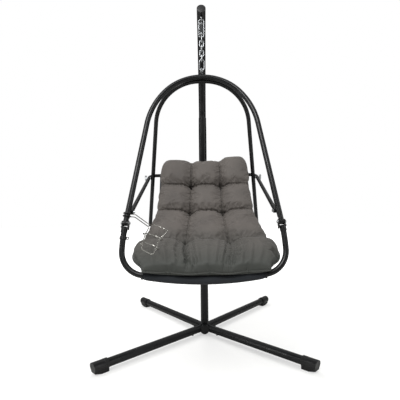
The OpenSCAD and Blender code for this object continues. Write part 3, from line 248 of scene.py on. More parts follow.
def zinc_plated_steel(settings):
    """Steel with a bright zinc plating: pale, slightly cloudy, with soft reflections."""
    return plated_metal("zinc_plated_steel", settings.zinc, 0.22, 0.36, 0.003)


def chrome_plated_wire(settings):
    """Drawn wire with a chrome plating: near mirror, with faint draw marks."""
    return plated_metal("chrome_plated_wire", settings.chrome, 0.12, 0.22, 0.002)


def spring_steel(settings):
    """Oil-tempered spring wire: grey, with a dull sheen."""
    return plated_metal("spring_steel", settings.spring, 0.3, 0.45, 0.002)


def plain_weave(tree, where, pitch):
    """Height of a plain weave: warp and weft yarns that pass over each other."""
    yarns = [add(tree, "ShaderNodeTexWave", {"Vector": where, "Scale": BAND_SCALE / pitch, "Distortion": 0.6,
                                             "Detail": 1.0, "Detail Scale": 0.7}, bands_direction=axis)
             for axis in "XY"]
    return add(tree, "ShaderNodeMath", {k: yarn.outputs["Fac"] for k, yarn in enumerate(yarns)},
               operation="MULTIPLY").outputs[0]


def crumpled(tree, yarn, yarn_share, where, size):
    """Height of a cloth: its yarn, on crumples of about size metres."""
    crumple = add(tree, "ShaderNodeTexNoise", {"Vector": where, "Scale": 1 / size, "Detail": 3})
    return add(tree, "ShaderNodeMath", {0: yarn, 1: yarn_share, 2: crumple.outputs["Fac"]},
               operation="MULTIPLY_ADD").outputs[0]


def woven_polyester(settings):
    """Piece-dyed polyester cover: warm grey plain weave with a low sheen and heathered yarn."""
    material, tree, where, flat = start_material("woven_polyester_cover")
    yarn = plain_weave(tree, flat, settings.yarn_pitch)
    # Painted highlight: raised yarn is drawn lighter, on top of the heather's own random tone
    lit = add(tree, "ShaderNodeMapRange", {"Value": yarn, "To Min": 0.75, "To Max": 1.1})
    share = add(tree, "ShaderNodeMath", {0: patchy(tree, where, 0.12, detail=2), 1: lit.outputs[0]},
                operation="MULTIPLY")
    body = add(tree, "ShaderNodeMix", {0: share.outputs[0], 6: settings.cushion_dark,
                                       7: settings.cushion_light}, data_type="RGBA")
    # Painted shade: between these heights the cover darkens and turns greener towards its front lip
    height = add(tree, "ShaderNodeSeparateXYZ", {0: where}).outputs["Z"]
    front = add(tree, "ShaderNodeMapRange", {"Value": height, "From Min": FRONT_SHADE_HEIGHTS[0],
                                             "From Max": FRONT_SHADE_HEIGHTS[1]})
    tone = add(tree, "ShaderNodeMix", {0: front.outputs[0], 6: body.outputs[2], 7: settings.cushion_front_shade},
               data_type="RGBA")
    return end_material(material, crumpled(tree, yarn, 0.2, where, 0.03), CLOTH_RELIEF, {
        "Base Color": tone.outputs[2], "Roughness": 0.62, "Sheen Weight": 0.12, "Sheen Roughness": 0.4,
        "Specular IOR Level": 0.4}, strength=0.7)


def coated_polyester(settings):
    """Heavy coated polyester for the sling: black, coarse plain weave, dull."""
    material, tree, where, flat = start_material("coated_polyester_sling")
    yarn = plain_weave(tree, flat, settings.yarn_pitch)
    # Painted highlight: raised yarn is mixed towards a paler copy of the sling's colour
    lit = add(tree, "ShaderNodeMapRange", {"Value": yarn, "To Max": 0.7})
    pale = (*(min(1.0, c * 1.8 + 0.004) for c in settings.sling[:3]), 1.0)
    tone = add(tree, "ShaderNodeMix", {0: lit.outputs[0], 6: settings.sling, 7: pale}, data_type="RGBA")
    return end_material(material, crumpled(tree, yarn, 0.25, where, 0.04), CLOTH_RELIEF, {
        "Base Color": tone.outputs[2], "Roughness": 0.8, "Sheen Weight": 0.1, "Specular IOR Level": 0.3},
        strength=0.7)


def sewing_thread(settings):
    """Bonded polyester thread, slightly shiny, with its twist."""
    material, tree, where, _ = start_material("sewing_thread")
    twist = add(tree, "ShaderNodeTexWave", {"Vector": where, "Scale": 180.0},
                bands_direction="DIAGONAL").outputs["Fac"]
    shine = add(tree, "ShaderNodeMapRange", {"Value": twist, "To Min": 0.45, "To Max": 0.65})
    return end_material(material, twist, 0.0002, {"Base Color": settings.thread,
                                                  "Roughness": shine.outputs[0]})


# ---- geometry


def arch_point(u, v, off=0.0):
    """Point of the front arch's plane in metres: across, down the plane, and behind it, in millimetres."""
    return Vector((u, HANG_Y - v * math.sin(ARCH_TILT) + off * math.cos(ARCH_TILT),
                   ARCH_TOP_Z - v * math.cos(ARCH_TILT) - off * math.sin(ARCH_TILT))) * MM


def side_point(along, inward, ahead):
    """Point beside the left tube of the arch, above its hinge bolt."""
    u = BOLT_U - along * math.sin(ARCH_SPLAY) - inward * math.cos(ARCH_SPLAY)
    v = BOLT_V - along * math.cos(ARCH_SPLAY) + inward * math.sin(ARCH_SPLAY)
    point = arch_point(u, v, -ahead)
    return Vector((-point.x, point.y, point.z))


def basket_point(x, y, z):
    """Point of the bottle holder's own frame."""
    c, s = math.cos(BASKET_LEAN), math.sin(BASKET_LEAN)
    return Vector((BASKET_HOME[0] + x * c + z * s, BASKET_HOME[1] + y, BASKET_HOME[2] - x * s + z * c)) * MM


def sling_point(t):
    """Point of the sling's curve (y, z) and its upward normal, in millimetres."""
    a, b, c, d = (np.array(p) for p in SLING_CURVE)
    at = (1 - t) ** 3 * a + 3 * t * (1 - t) ** 2 * b + 3 * t * t * (1 - t) * c + t ** 3 * d
    run = 3 * (1 - t) ** 2 * (b - a) + 6 * t * (1 - t) * (c - b) + 3 * t * t * (d - c)
    return at, np.array((-run[1], run[0])) / np.hypot(*run)


def mesh_object(name, points, faces, uvs=None, material=None, smooth=True):
    """Object at the origin, from points in metres, with one UV pair per face corner."""
    mesh = bpy.data.meshes.new(name)
    mesh.from_pydata([tuple(p) for p in points], [], faces)
    if uvs is not None:
        layer = mesh.uv_layers.new(name="UVMap")
        layer.data.foreach_set("uv", np.asarray(uvs, np.float32).ravel())
    if material:
        mesh.materials.append(material)
    mesh.polygons.foreach_set("use_smooth", [smooth] * len(mesh.polygons))
    mesh.validate()
    mesh.update()
    made = bpy.data.objects.new(name, mesh)
    bpy.context.scene.collection.objects.link(made)
    return made


def grid_faces(rows, cols, closed_cols=False):
    """Quads of a grid of points, and each corner's (row, column)."""
    faces, corners = [], []
    last = cols if closed_cols else cols - 1
    for i in range(rows - 1):
        for j in range(last):
            k = (j + 1) % cols
            faces.append((i * cols + j, i * cols + k, (i + 1) * cols + k, (i + 1) * cols + j))
            corners.extend(((i, j), (i, j + 1), (i + 1, j + 1), (i + 1, j)))
    return faces, corners


def tube_mesh(path, radius, sides=12):
    """Closed tube along a path: points, faces and UV pairs in metres. Radius is one number or one a point."""
    path = [Vector(p) for p in path]
    count = len(path)
    radii = [radius] * count if isinstance(radius, (int, float)) else radius
    tangents = [(path[min(i + 1, count - 1)] - path[max(i - 1, 0)]).normalized() for i in range(count)]
    normal = tangents[0].orthogonal().normalized()
    points, run, runs = [], 0.0, []
    for i, (at, way) in enumerate(zip(path, tangents)):
        normal = (normal - way * normal.dot(way)).normalized()
        side = way.cross(normal)
        run += (at - path[i - 1]).length if i else 0.0
        runs.append(run)
        for k in range(sides):
            a = 2 * math.pi * k / sides
            points.append(at + (normal * math.cos(a) + side * math.sin(a)) * radii[i])
    faces, corners = grid_faces(count, sides, True)
    ring = 2 * math.pi * max(radii)
    uvs = [(ring * j / sides, runs[i]) for i, j in corners]
    for end, order in ((0, range(sides - 1, -1, -1)), (count - 1, range(sides))):
        faces.append(tuple(end * sides + k for k in order))
        uvs.extend((0.0, runs[end]) for _ in range(sides))
    return points, faces, uvs


def tube_object(name, paths, radius, material, sides=12):
    """One object made of tubes along several paths."""
    points, faces, uvs = [], [], []
    for path in paths:
        more_points, more_faces, more_uvs = tube_mesh(path, radius, sides)
        faces.extend(tuple(k + len(points) for k in face) for face in more_faces)
        points.extend(more_points)
        uvs.extend(more_uvs)
    return mesh_object(name, points, faces, uvs, material)


def rounded(points, radius, steps=6):
    """Path through points with its corners rounded."""
    path = [points[0]]
    for before, at, after in zip(points, points[1:], points[2:]):
        a, b = (before - at), (after - at)
        cut = min(radius, a.length * 0.45, b.length * 0.45)
        first, last = at + a.normalized() * cut, at + b.normalized() * cut
        for k in range(steps + 1):
            f = k / steps
            path.append(first * (1 - f) ** 2 + at * 2 * f * (1 - f) + last * f * f)
    path.append(points[-1])
    return path


# ---- repeats


def start_tree(name, sizes, axis):
    """Geometry Nodes tree with named sizes, and its spots along a path, whose axis points along the path."""
    tree = bpy.data.node_groups.get(name)
    if tree:
        bpy.data.node_groups.remove(tree)
    tree = bpy.data.node_groups.new(name, "GeometryNodeTree")
    tree.interface.new_socket("Geometry", in_out="INPUT", socket_type="NodeSocketGeometry")
    for size in ("Pitch", *sizes):
        tree.interface.new_socket(size, in_out="INPUT", socket_type="NodeSocketFloat")
    tree.interface.new_socket("Geometry", in_out="OUTPUT", socket_type="NodeSocketGeometry")
    given = add(tree, "NodeGroupInput").outputs
    path = add(tree, "GeometryNodeMeshToCurve", {"Mesh": given["Geometry"]})
    spots = add(tree, "GeometryNodeCurveToPoints", {"Curve": path.outputs[0], "Length": given["Pitch"]},
                mode="LENGTH").outputs
    turn = add(tree, "FunctionNodeAlignRotationToVector", {"Vector": spots["Tangent"]}, axis=axis)
    return tree, given, {"Points": spots["Points"], "Rotation": turn.outputs[0]}


def end_tree(tree, shape, spots, material):
    """The tree, with a smooth copy of the shape on each spot, as one plain mesh of a material."""
    smooth = add(tree, "GeometryNodeSetShadeSmooth", {"Geometry": shape.outputs["Mesh"]})
    copies = add(tree, "GeometryNodeInstanceOnPoints", {**spots, "Instance": smooth.outputs[0]})
    real = add(tree, "GeometryNodeRealizeInstances", {"Geometry": copies.outputs[0]})
    finish = add(tree, "GeometryNodeSetMaterial", {"Geometry": real.outputs[0], "Material": material})
    add(tree, "NodeGroupOutput", {0: finish.outputs[0]})
    return tree


def beads_tree(material):
    """Tree that sets small long beads along a path: stitches, or the ripples of a weld."""
    tree, given, spots = start_tree("beads along a path", ("Length", "Width"), "X")
    size = add(tree, "ShaderNodeCombineXYZ", {"X": given["Length"], "Y": given["Width"], "Z": given["Width"]})
    bead = add(tree, "GeometryNodeMeshIcoSphere", {"Radius": 0.5, "Subdivisions": 2})
    return end_tree(tree, bead, {**spots, "Scale": size.outputs[0]}, material)


def ribs_tree(material):
    """Tree that sets ribs round a path: each a ring of a given radius."""
    tree, given, spots = start_tree("ribs round a path", ("Radius", "Thickness"), "Z")
    ring = add(tree, "GeometryNodeCurvePrimitiveCircle", {"Resolution": 64, "Radius": given["Radius"]})
    half = add(tree, "ShaderNodeMath", {0: given["Thickness"], 1: 0.5}, operation="MULTIPLY")
    profile = add(tree, "GeometryNodeCurvePrimitiveCircle", {"Resolution": 10, "Radius": half.outputs[0]})
    rib = add(tree, "GeometryNodeCurveToMesh", {"Curve": ring.outputs[0],
                                                "Profile Curve": profile.outputs[0]})
    return end_tree(tree, rib, spots, material)


def along_paths(name, paths, tree, **sizes):
    """Plain mesh that a tree makes from open or closed paths. A closed path repeats its first point last."""
    points, edges = [], []
    for path in paths:
        closed = (Vector(path[0]) - Vector(path[-1])).length < 1e-7
        own = path[:-1] if closed else path
        base = len(points)
        points.extend(own)
        edges.extend((base + k, base + k + 1) for k in range(len(own) - 1))
        if closed:
            edges.append((base + len(own) - 1, base))
    source = bpy.data.meshes.new(name + "_path")
    source.from_pydata([tuple(p) for p in points], edges, [])
    carrier = bpy.data.objects.new(name + "_path", source)
    bpy.context.scene.collection.objects.link(carrier)
    modifier = carrier.modifiers.new("repeat", "NODES")
    modifier.node_group = tree
    sockets = {item.name: item.identifier for item in tree.interface.items_tree if item.in_out == "INPUT"}
    for size, value in sizes.items():
        modifier[sockets[size]] = value
    bpy.context.view_layer.update()
    evaluated = carrier.evaluated_get(bpy.context.evaluated_depsgraph_get())
    mesh = bpy.data.meshes.new_from_object(evaluated)
    mesh.name = name
    made = bpy.data.objects.new(name, mesh)
    bpy.context.scene.collection.objects.link(made)
    bpy.data.objects.remove(carrier)
    bpy.data.meshes.remove(source)
    if not mesh.polygons:
        raise RuntimeError(f"{name} came out empty")
    return made


# ---- cushion


def eased(values, f):
    """Smooth curve through values, at f steps along them."""
    i = min(int(f), len(values) - 2)
    r = f - i
    a, b, c, d = (values[min(max(k, 0), len(values) - 1)] for k in (i - 1, i, i + 1, i + 2))
    return b + 0.5 * r * (c - a + r * (2 * a - 5 * b + 4 * c - d + r * (3 * (b - c) + d - a)))


def seam_share(cells, sharp):
    """1 on a seam, falling to 0 between seams."""
    return ((1 + math.cos(2 * math.pi * cells)) / 2) ** sharp


CUSHION_ROWS, CUSHION_COLS, ROW_CELLS, COL_CELLS = 4, 3, 33, 28
# Places of the rows' seams on the sling's curve, and half widths from the front to the top, in millimetres
ROW_EDGES = (-0.035, 0.30, CREASE_T, 0.885, 1.06)
HALF_WIDTHS = (262, 314, 299, 274, 257, 250, 246, 243, 232)
CUSHION_GAP, SIDE_CURL, EDGE_T, PUFF_T = 0.6, 26.0, 14.0, 112.0
CORNER_S, CORNER_X = 0.05, 0.17
# The cushion lies a little to one side, with its middle column wider there
ASIDE, COLUMN_LEAN = 9.0, 0.03
# How sharp a seam and a notch of the edge are, and the powers that round the sides, the front and the top
SEAM_SHARP, NOTCH_SHARP, ROUND_SIDE, ROUND_FRONT, ROUND_TOP = 6, 3, 6, 6, 10
# Shares of the length that the front's roll and its flare take up
ROLL_RUN, FLARE_RUN = 0.2, 0.35
# Shares of the width: drawn in at a row's seam, and flared at the front to the right and to the left
ROW_WAIST, FLARE_RIGHT, FLARE_LEFT = 0.035, 0.035, 0.03
# Shares of the sling's curve: rise of the top's right corner, and dip of the top at a column's seam
CORNER_RISE, TOP_DIP = 0.018, 0.010
# How firmly the cover is held at a tuft, along a seam and on its rim
TUFT_HOLD, SEAM_HOLD, RIM_HOLD = 0.97, 0.80, 0.35
# Cloth of the cover, whose filling is simulated over so many frames
CLOTH = {"quality": 6, "mass": 0.25, "tension_stiffness": 18, "compression_stiffness": 18,
         "shear_stiffness": 8, "bending_stiffness": 0.35, "air_damping": 3, "use_pressure": True,
         "shrink_min": -0.05, "vertex_group_mass": "held"}
FILL_FRAMES = 20
# In metres: widths of a seam's fold, its puckers and a tuft's pit, and place and width of a tuft's folds
SEAM_W, PUCKER_W, PIT_W, FOLD_OUT, FOLD_W = 0.0036, 0.020, 0.009, 0.026, 0.020
# Length and height of the puckers' waves in metres, and numbers of folds round a tuft
PUCKERS, SPOKES = ((0.034, 0.0016), (0.021, 0.0011), (0.013, 0.0006)), (5, 8, 11)
# Loose creases: number, and in metres their height and the half width and length on which they are laid out
CREASES, CREASE_H, CREASE_WIDE, CREASE_LONG = 26, 0.0016, 0.27, 0.75
# Gathers of the front row: place across, height in millimetres, width and lean
GATHERS = ((-0.86, 4, 0.030, -0.6), (-0.70, 5, 0.024, -0.5), (-0.55, 6, 0.022, -0.4),
           (-0.43, 8, 0.020, -0.35), (-0.345, 10, 0.018, -0.15), (-0.27, 8, 0.018, 0.15),
           (-0.18, 5, 0.020, 0.2), (-0.02, 4, 0.026, 0.0), (0.15, 5, 0.020, -0.2), (0.25, 9, 0.020, -0.25),
           (0.33, 10, 0.018, 0.1), (0.41, 9, 0.020, 0.5), (0.52, 7, 0.022, 0.6), (0.66, 5, 0.024, 0.6),
           (0.82, 4, 0.030, 0.5))
# Where the gathers fade out, and how much they spread on the way
GATHER_END, GATHER_SPREAD = 0.25, 1.5
PIPING_R, THREAD_R, TUFT_ARM = 0.0034, 0.0014, 0.009
# How far the underside lies from the top on the UV map
UNDER_UV = 2.0


def top_corner(s, x):
    """Grid place drawn in at the two top corners, so that they come out round."""
    cs = max(0.0, (s - 1 + CORNER_S) / CORNER_S)
    cx = max(0.0, (abs(x) - 1 + CORNER_X) / CORNER_X)
    return (s - CORNER_S * cs * (1 - math.sqrt(1 - cx * cx / 2)),
            x - math.copysign(CORNER_X * cx * (1 - math.sqrt(1 - cs * cs / 2)), x))


def row_place(s):
    """Place on the sling's curve of a share of the cushion's length."""
    f = s * CUSHION_ROWS
    k = min(int(f), CUSHION_ROWS - 1)
    return ROW_EDGES[k] + (ROW_EDGES[k + 1] - ROW_EDGES[k]) * (f - k)


def cushion_grid(settings):
    """Points of the unfilled cover's top and underside, in millimetres, and how firmly each is held."""
    rows, cols = CUSHION_ROWS * ROW_CELLS, CUSHION_COLS * COL_CELLS
    top, under, hold = [], [], []
    for i in range(rows + 1):
        s = i / rows
        f = s * CUSHION_ROWS
        row_seam = seam_share(f, SEAM_SHARP) if 0.5 < f < CUSHION_ROWS - 0.5 else 0.0
        notch = seam_share(f, NOTCH_SHARP)
        front = max(0.0, 1 - s / ROLL_RUN)
        flare = max(0.0, 1 - s / FLARE_RUN)
        edge_s = max(0.0, 1 - abs(2 * s - 1) ** (ROUND_TOP if s > 0.5 else ROUND_FRONT)) ** 0.5
        half = eased(HALF_WIDTHS, s * (len(HALF_WIDTHS) - 1))
        for j in range(cols + 1):
            x0 = 2 * j / cols - 1
            g = (x0 + 1) * CUSHION_COLS / 2
            inside = 0.5 < g < CUSHION_COLS - 0.5
            col_seam = seam_share(g, SEAM_SHARP) if inside else 0.0
            seam, tuft = max(row_seam, col_seam), row_seam * col_seam
            edge_x = max(0.0, 1 - x0 ** ROUND_SIDE) ** 0.5
            crown = edge_x * edge_s
            s_in, x = top_corner(s, x0)
            t = row_place(s_in)
            wide = half * (1 - ROW_WAIST * notch * abs(x) ** 3)
            end_notch = seam_share(g, NOTCH_SHARP) if inside else 0.0
            high_corner = max(0.0, s - 0.75) / 0.25 * max(0.0, min(1.0, (x - 0.2) / 0.3))
            t += CORNER_RISE * high_corner - TOP_DIP * end_notch * max(0.0, s - 0.8) / 0.2
            x += COLUMN_LEAN * (1 - x * x)
            (y, z), (ny, nz) = sling_point(t)
            rim_lift = (PUFF_T - EDGE_T) * (0.3 - 0.2 * front) * (1 - crown)
            bed = SLING_T / 2 + CUSHION_GAP + SIDE_CURL * (1 - 0.5 * front) * abs(x) ** 3 + rim_lift
            full = EDGE_T * 0.5 + (PUFF_T * settings.fill_share - EDGE_T * 0.5) * edge_x * edge_s
            drawn = 1 - settings.seam_draw * seam - settings.tuft_draw * tuft ** 0.5
            high = bed + EDGE_T * 0.5 + (full * drawn if crown else 0)
            low = bed + (0 if crown else EDGE_T * 0.5)
            wide *= 1 + (FLARE_RIGHT * max(0.0, x) + FLARE_LEFT * max(0.0, -x)) * flare
            for grid, lift in ((top, high), (under, low)):
                grid.append((x * wide + ASIDE, y + lift * ny, z + lift * nz))
            hold.append(TUFT_HOLD if tuft > 0.5 else SEAM_HOLD if seam > 0.9 else 0.0)
    return np.array(top), np.array(under), np.array(hold), rows, cols


def finer(grid):
    """Grid of points with a cubic point put between every two, both ways."""
    for axis in (0, 1):
        moved = np.moveaxis(grid, axis, 0)
        padded = np.concatenate([2 * moved[:1] - moved[1:2], moved, 2 * moved[-1:] - moved[-2:-1]])
        middle = (9 * (padded[1:-2] + padded[2:-1]) - padded[:-3] - padded[3:]) / 16
        out = np.empty((2 * len(moved) - 1, *moved.shape[1:]))
        out[0::2], out[1::2] = moved, middle
        grid = np.moveaxis(out, 0, axis)
    return grid


def grid_normals(grid):
    """Unit normal at every point of a grid."""
    normals = np.cross(np.gradient(grid, axis=1), np.gradient(grid, axis=0))
    return normals / np.maximum(np.linalg.norm(normals, axis=2, keepdims=True), 1e-12)


def crease(grid, settings):
    """Sews seams, tufts and gathers into the filled cover's top, whose grid it moves along its normals."""
    rows, cols = grid.shape[0] - 1, grid.shape[1] - 1
    s = np.linspace(0, 1, rows + 1)[:, None]
    x = np.linspace(-1, 1, cols + 1)[None, :]
    step_x = np.linalg.norm(np.gradient(grid, axis=1), axis=2)
    step_s = np.linalg.norm(np.gradient(grid, axis=0), axis=2)
    random = np.random.default_rng(11)
    move = np.zeros((rows + 1, cols + 1))
    fade = np.sqrt(np.clip(1 - x ** 8, 0, 1)) * np.sqrt(np.clip(1 - np.abs(2 * s - 1) ** 12, 0, 1))
    from_rows = [(s * rows - rows * k / CUSHION_ROWS) * step_s for k in range(1, CUSHION_ROWS)]
    from_cols = [((x + 1) / 2 * cols - cols * k / CUSHION_COLS) * step_x for k in range(1, CUSHION_COLS)]
    for seams, along in ((from_rows, np.cumsum(step_x, axis=1)), (from_cols, np.cumsum(step_s, axis=0))):
        for away in np.abs(seams):
            move -= settings.seam_depth * np.exp(-(away / SEAM_W) ** 2)
            for wave, size in PUCKERS:
                phase = random.uniform(0, 6.28)
                drift = 1.6 * np.sin(along / 0.11 + phase) + away * random.uniform(-25, 25)
                move += size * np.sin(2 * math.pi * along / wave + drift) * np.exp(-(away / PUCKER_W) ** 1.5)
    for ds in from_rows:
        for dx in from_cols:
            r, angle = np.hypot(ds, dx), np.arctan2(ds, dx)
            move -= settings.tuft_depth * np.exp(-(r / PIT_W) ** 2)
            for spokes in SPOKES:
                phase = random.uniform(0, 6.28)
                ray = np.sin(spokes * angle + phase + 9 * r * random.uniform(-1, 1))
                move += settings.fold_height * ray * np.exp(-((r - FOLD_OUT) / FOLD_W) ** 2)
    left = GATHER_END - s
    envelope = np.clip(1 - (s - 0.02) / 0.2, 0, 1) ** 0.7 * (1 - np.exp(-(s / 0.02) ** 2))
    for place_x, high, width, lean in GATHERS:
        d = (x - place_x - lean * left) / (width * np.maximum(1 + GATHER_SPREAD * left, 0.1))
        move += MM * high * (np.exp(-d * d) - 0.8 * np.exp(-(d - 1.7) ** 2)) * envelope
    for _ in range(CREASES):
        cx, cs = random.uniform(-0.9, 0.9), random.uniform(0.03, 0.97)
        turn, long, thin = (random.uniform(*ends) for ends in ((-0.9, 0.9), (0.03, 0.06), (0.004, 0.009)))
        across, up = (x - cx) * CREASE_WIDE, (s - cs) * CREASE_LONG
        du = (across * np.cos(turn) + up * np.sin(turn)) / long
        dv = (up * np.cos(turn) - across * np.sin(turn)) / thin
        move += CREASE_H * np.exp(-du ** 2) * (np.exp(-dv ** 2) - 0.7 * np.exp(-(dv - 1.6) ** 2))
    return grid + grid_normals(grid) * (move * fade)[..., None]


def fill_cushion(points, faces, hold, settings):
    """Fills the cover: cloth under pressure, held at its seams and on its underside."""
    pad = mesh_object("cushion_cover", points, faces)
    group = pad.vertex_groups.new(name="held")
    for level in np.unique(hold):
        if level > 0:
            group.add([int(k) for k in np.nonzero(hold == level)[0]], float(level), "REPLACE")
    cloth = pad.modifiers.new("cloth", "CLOTH")
    for key, value in CLOTH.items():
        setattr(cloth.settings, key, value)
    cloth.settings.uniform_pressure_force = settings.puff_pressure
    cloth.settings.effector_weights.gravity = 0
    cloth.collision_settings.use_collision = False
    cloth.point_cache.frame_start, cloth.point_cache.frame_end = 1, FILL_FRAMES
    for at in range(1, FILL_FRAMES + 1):
        bpy.context.scene.frame_set(at)
    evaluated = pad.evaluated_get(bpy.context.evaluated_depsgraph_get())
    swollen = np.array([v.co for v in evaluated.data.vertices])
    bpy.data.objects.remove(pad)
    bpy.context.scene.frame_set(1)
    move = swollen - points
    length = np.linalg.norm(move, axis=1)
    cap = settings.swell_cap
    scale = np.where(length > 1e-9, cap * np.tanh(length / cap) / np.maximum(length, 1e-9), 1.0)
    return points + move * scale[:, None]


def filled_cover(settings):
    """Grids of the filled cover's top and underside in metres, twice as fine as the cover that is filled."""
    top, under, hold, rows, cols = cushion_grid(settings)
    count = len(top)
    rim = np.ones((rows + 1, cols + 1), bool)
    rim[1:-1, 1:-1] = False
    rim = rim.ravel()
    index = np.arange(2 * count)
    index[count:][rim] = index[:count][rim]
    used, number = np.unique(index, return_inverse=True)
    faces = []
    for a, b, c, d in grid_faces(rows + 1, cols + 1)[0]:
        faces.append(tuple(int(number[k]) for k in (a, b, c, d)))
        faces.append(tuple(int(number[k + count]) for k in (a, d, c, b)))
    held = np.concatenate([hold, np.ones(count)])
    held[:count][rim] = RIM_HOLD
    cover = np.vstack([top, under])[used] * MM
    cover = fill_cushion(cover, faces, held[used], settings)
    sides = cover[number].reshape(2, rows + 1, cols + 1, 3)
    return crease(finer(sides[0]), settings), finer(sides[1])


def lengths_along(grid, axis):
    """Length from the grid's start along an axis, at each of its points."""
    steps = np.linalg.norm(np.diff(grid, axis=axis), axis=-1)
    return np.insert(np.cumsum(steps, axis=axis), 0, 0.0, axis=axis)


def cushion_half(name, sides, first, last, material):
    """Rows first to last of the cushion's top and underside, closed where they meet the other half."""
    rows, cols = (size - 1 for size in sides[0].shape[:2])
    across, along = lengths_along(sides[0], 1), lengths_along(sides[0][:, cols // 2], 0)
    across -= across[:, cols // 2:cols // 2 + 1]
    picked = {}
    points, faces, uvs = [], [], []

    def corner(side, i, j):
        on_rim = j in (0, cols) or i in (0, rows)
        key = (0 if on_rim else side, i, j)
        if key not in picked:
            picked[key] = len(points)
            points.append(sides[key[0]][i, j])
        return picked[key]

    def quad(corners):
        faces.append(tuple(corner(*c) for c in corners))
        uvs.extend((across[i, j], along[i] + UNDER_UV * side) for side, i, j in corners)

    for i in range(first, last):
        for j in range(cols):
            quad(((0, i, j), (0, i, j + 1), (0, i + 1, j + 1), (0, i + 1, j)))
            quad(((1, i, j), (1, i + 1, j), (1, i + 1, j + 1), (1, i, j + 1)))
    cut = last if first == 0 else first
    for j in range(cols):
        ring = ((0, cut, j), (0, cut, j + 1), (1, cut, j + 1), (1, cut, j))
        if first != 0:
            ring = ring[::-1]
        unique = list(dict.fromkeys(corner(*c) for c in ring))
        if len(unique) > 2:
            faces.append(tuple(unique))
            uvs.extend((0.0, 0.0) for _ in unique)
    return mesh_object(name, points, faces, uvs, material)


class EGG_OT_cushion(bpy.types.Operator):
    """Make the tufted cushion: cover, filling, tufts and edge piping"""

    bl_idname = "egg.cushion"
    bl_label = "Cushion"

    def execute(self, context):
        fabric = context.scene.egg_fabric
        cover, thread = woven_polyester(fabric), sewing_thread(fabric)
        top, under = filled_cover(fabric)
        rows, cols = CUSHION_ROWS * ROW_CELLS * 2, CUSHION_COLS * COL_CELLS * 2
        split = rows // 2
        for name, first, last, body, bend in (("cushion_seat", 0, split, "seat", SEAT_BEND),
                                              ("cushion_back", split, rows, "back", BACK_BEND)):
            half = cushion_half(name, (top, under), first, last, cover)
            way = -1 if first == 0 else 1
            left, right = top[first:last + 1, 0], top[first:last + 1, cols]
            end = top[0 if first == 0 else rows]
            edge = [Vector(p) for p in (*left[::way], *end[1:], *right[::-way][1:])]
            piping = tube_object(name + "_piping", [edge], PIPING_R, cover, 8)
            tufted = [i for i in range(2 * ROW_CELLS, rows, 2 * ROW_CELLS) if first <= i < last]
            knots = []
            for at in (Vector(top[i, j]) for i in tufted for j in range(2 * COL_CELLS, cols, 2 * COL_CELLS)):
                for turn in (0.5, -0.5):
                    step = Vector((math.cos(turn), 0.7 * math.sin(turn), 0.7 * math.sin(turn))) * TUFT_ARM
                    knots.append([at - step + Vector((0, 0, MM)), at + Vector((0, -MM, 2 * MM)),
                                  at + step + Vector((0, 0, MM))])
            tufts = tube_object(name + "_tufts", knots, THREAD_R, thread, 8)
            for piece in (half, piping, tufts):
                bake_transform(piece)
            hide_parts("cushion")
        return {"FINISHED"}


# ---- sling


# Turn round the hem, in radians, for each unit below the sling curve's start, and how far the wrap goes
WRAP_TURN, WRAP_END, WRAP_ROWS = 10.0, -0.11, 6
# In millimetres: the cloth's height over the hem, and its sag, ripples and highest rise between the hems
HEM_CLEAR, SLING_SAG, SLING_RIPPLE, SLING_RISE = 0.9, 7.0, 0.8, 0.2
# Shares: of the curve over which the cloth comes off the hem, and of the width lost in the middle
LEAVE_RUN, SLING_WAIST = 0.12, 0.02
SLING_COLS, CLOTH_T, STITCH_W, STITCH_LIFT = 40, 0.0014, 0.0014, 0.0011
# Places of the rows of stitches across the half width
STITCH_ROWS = (0.965, 0.93)
# Puckers along a hem, and how far they swell it
HEM_PUCKERS, HEM_SWELL = (7, 13, 23, 37), 0.018


def hem_centre(x):
    """Middle of the seat rail's bow (y, z) in millimetres, at x from -1 to 1 across the sling."""
    at = arch_point(0, BOW_V - BOW_R + math.sqrt(BOW_R ** 2 - (x * SLING_HALF) ** 2)) / MM
    return np.array((at.y, at.z))


def sling_surface(t, x):
    """Point of the sling: t from the seat hem, which it wraps below 0, to the top hem, x from -1 to 1."""
    free_t = max(t, 0.0)
    (y, z), (ny, nz) = sling_point(free_t)
    middle, here = hem_centre(x), hem_centre(0)
    start = np.array(SLING_CURVE[0]) - here
    out = math.atan2(start[1], start[0]) - min(t, 0.0) * WRAP_TURN
    touch = middle + (HEM_D / 2 + HEM_CLEAR) * np.array((math.cos(out), math.sin(out)))
    between = math.sin(math.pi * free_t)
    off = -SLING_SAG * (1 - x * x) * between ** 1.5
    off += SLING_RIPPLE * math.sin(23 * x + 4 * t) * between * x * x
    off = min(off, SLING_RISE)
    share = max(0.0, 1 - free_t / LEAVE_RUN) ** 2
    free = np.array((y + off * ny, z + off * nz))
    at = touch if t <= 0 else free + (touch - np.array(SLING_CURVE[0])) * share
    return Vector((x * SLING_HALF * (1 - SLING_WAIST * between), at[0], at[1])) * MM


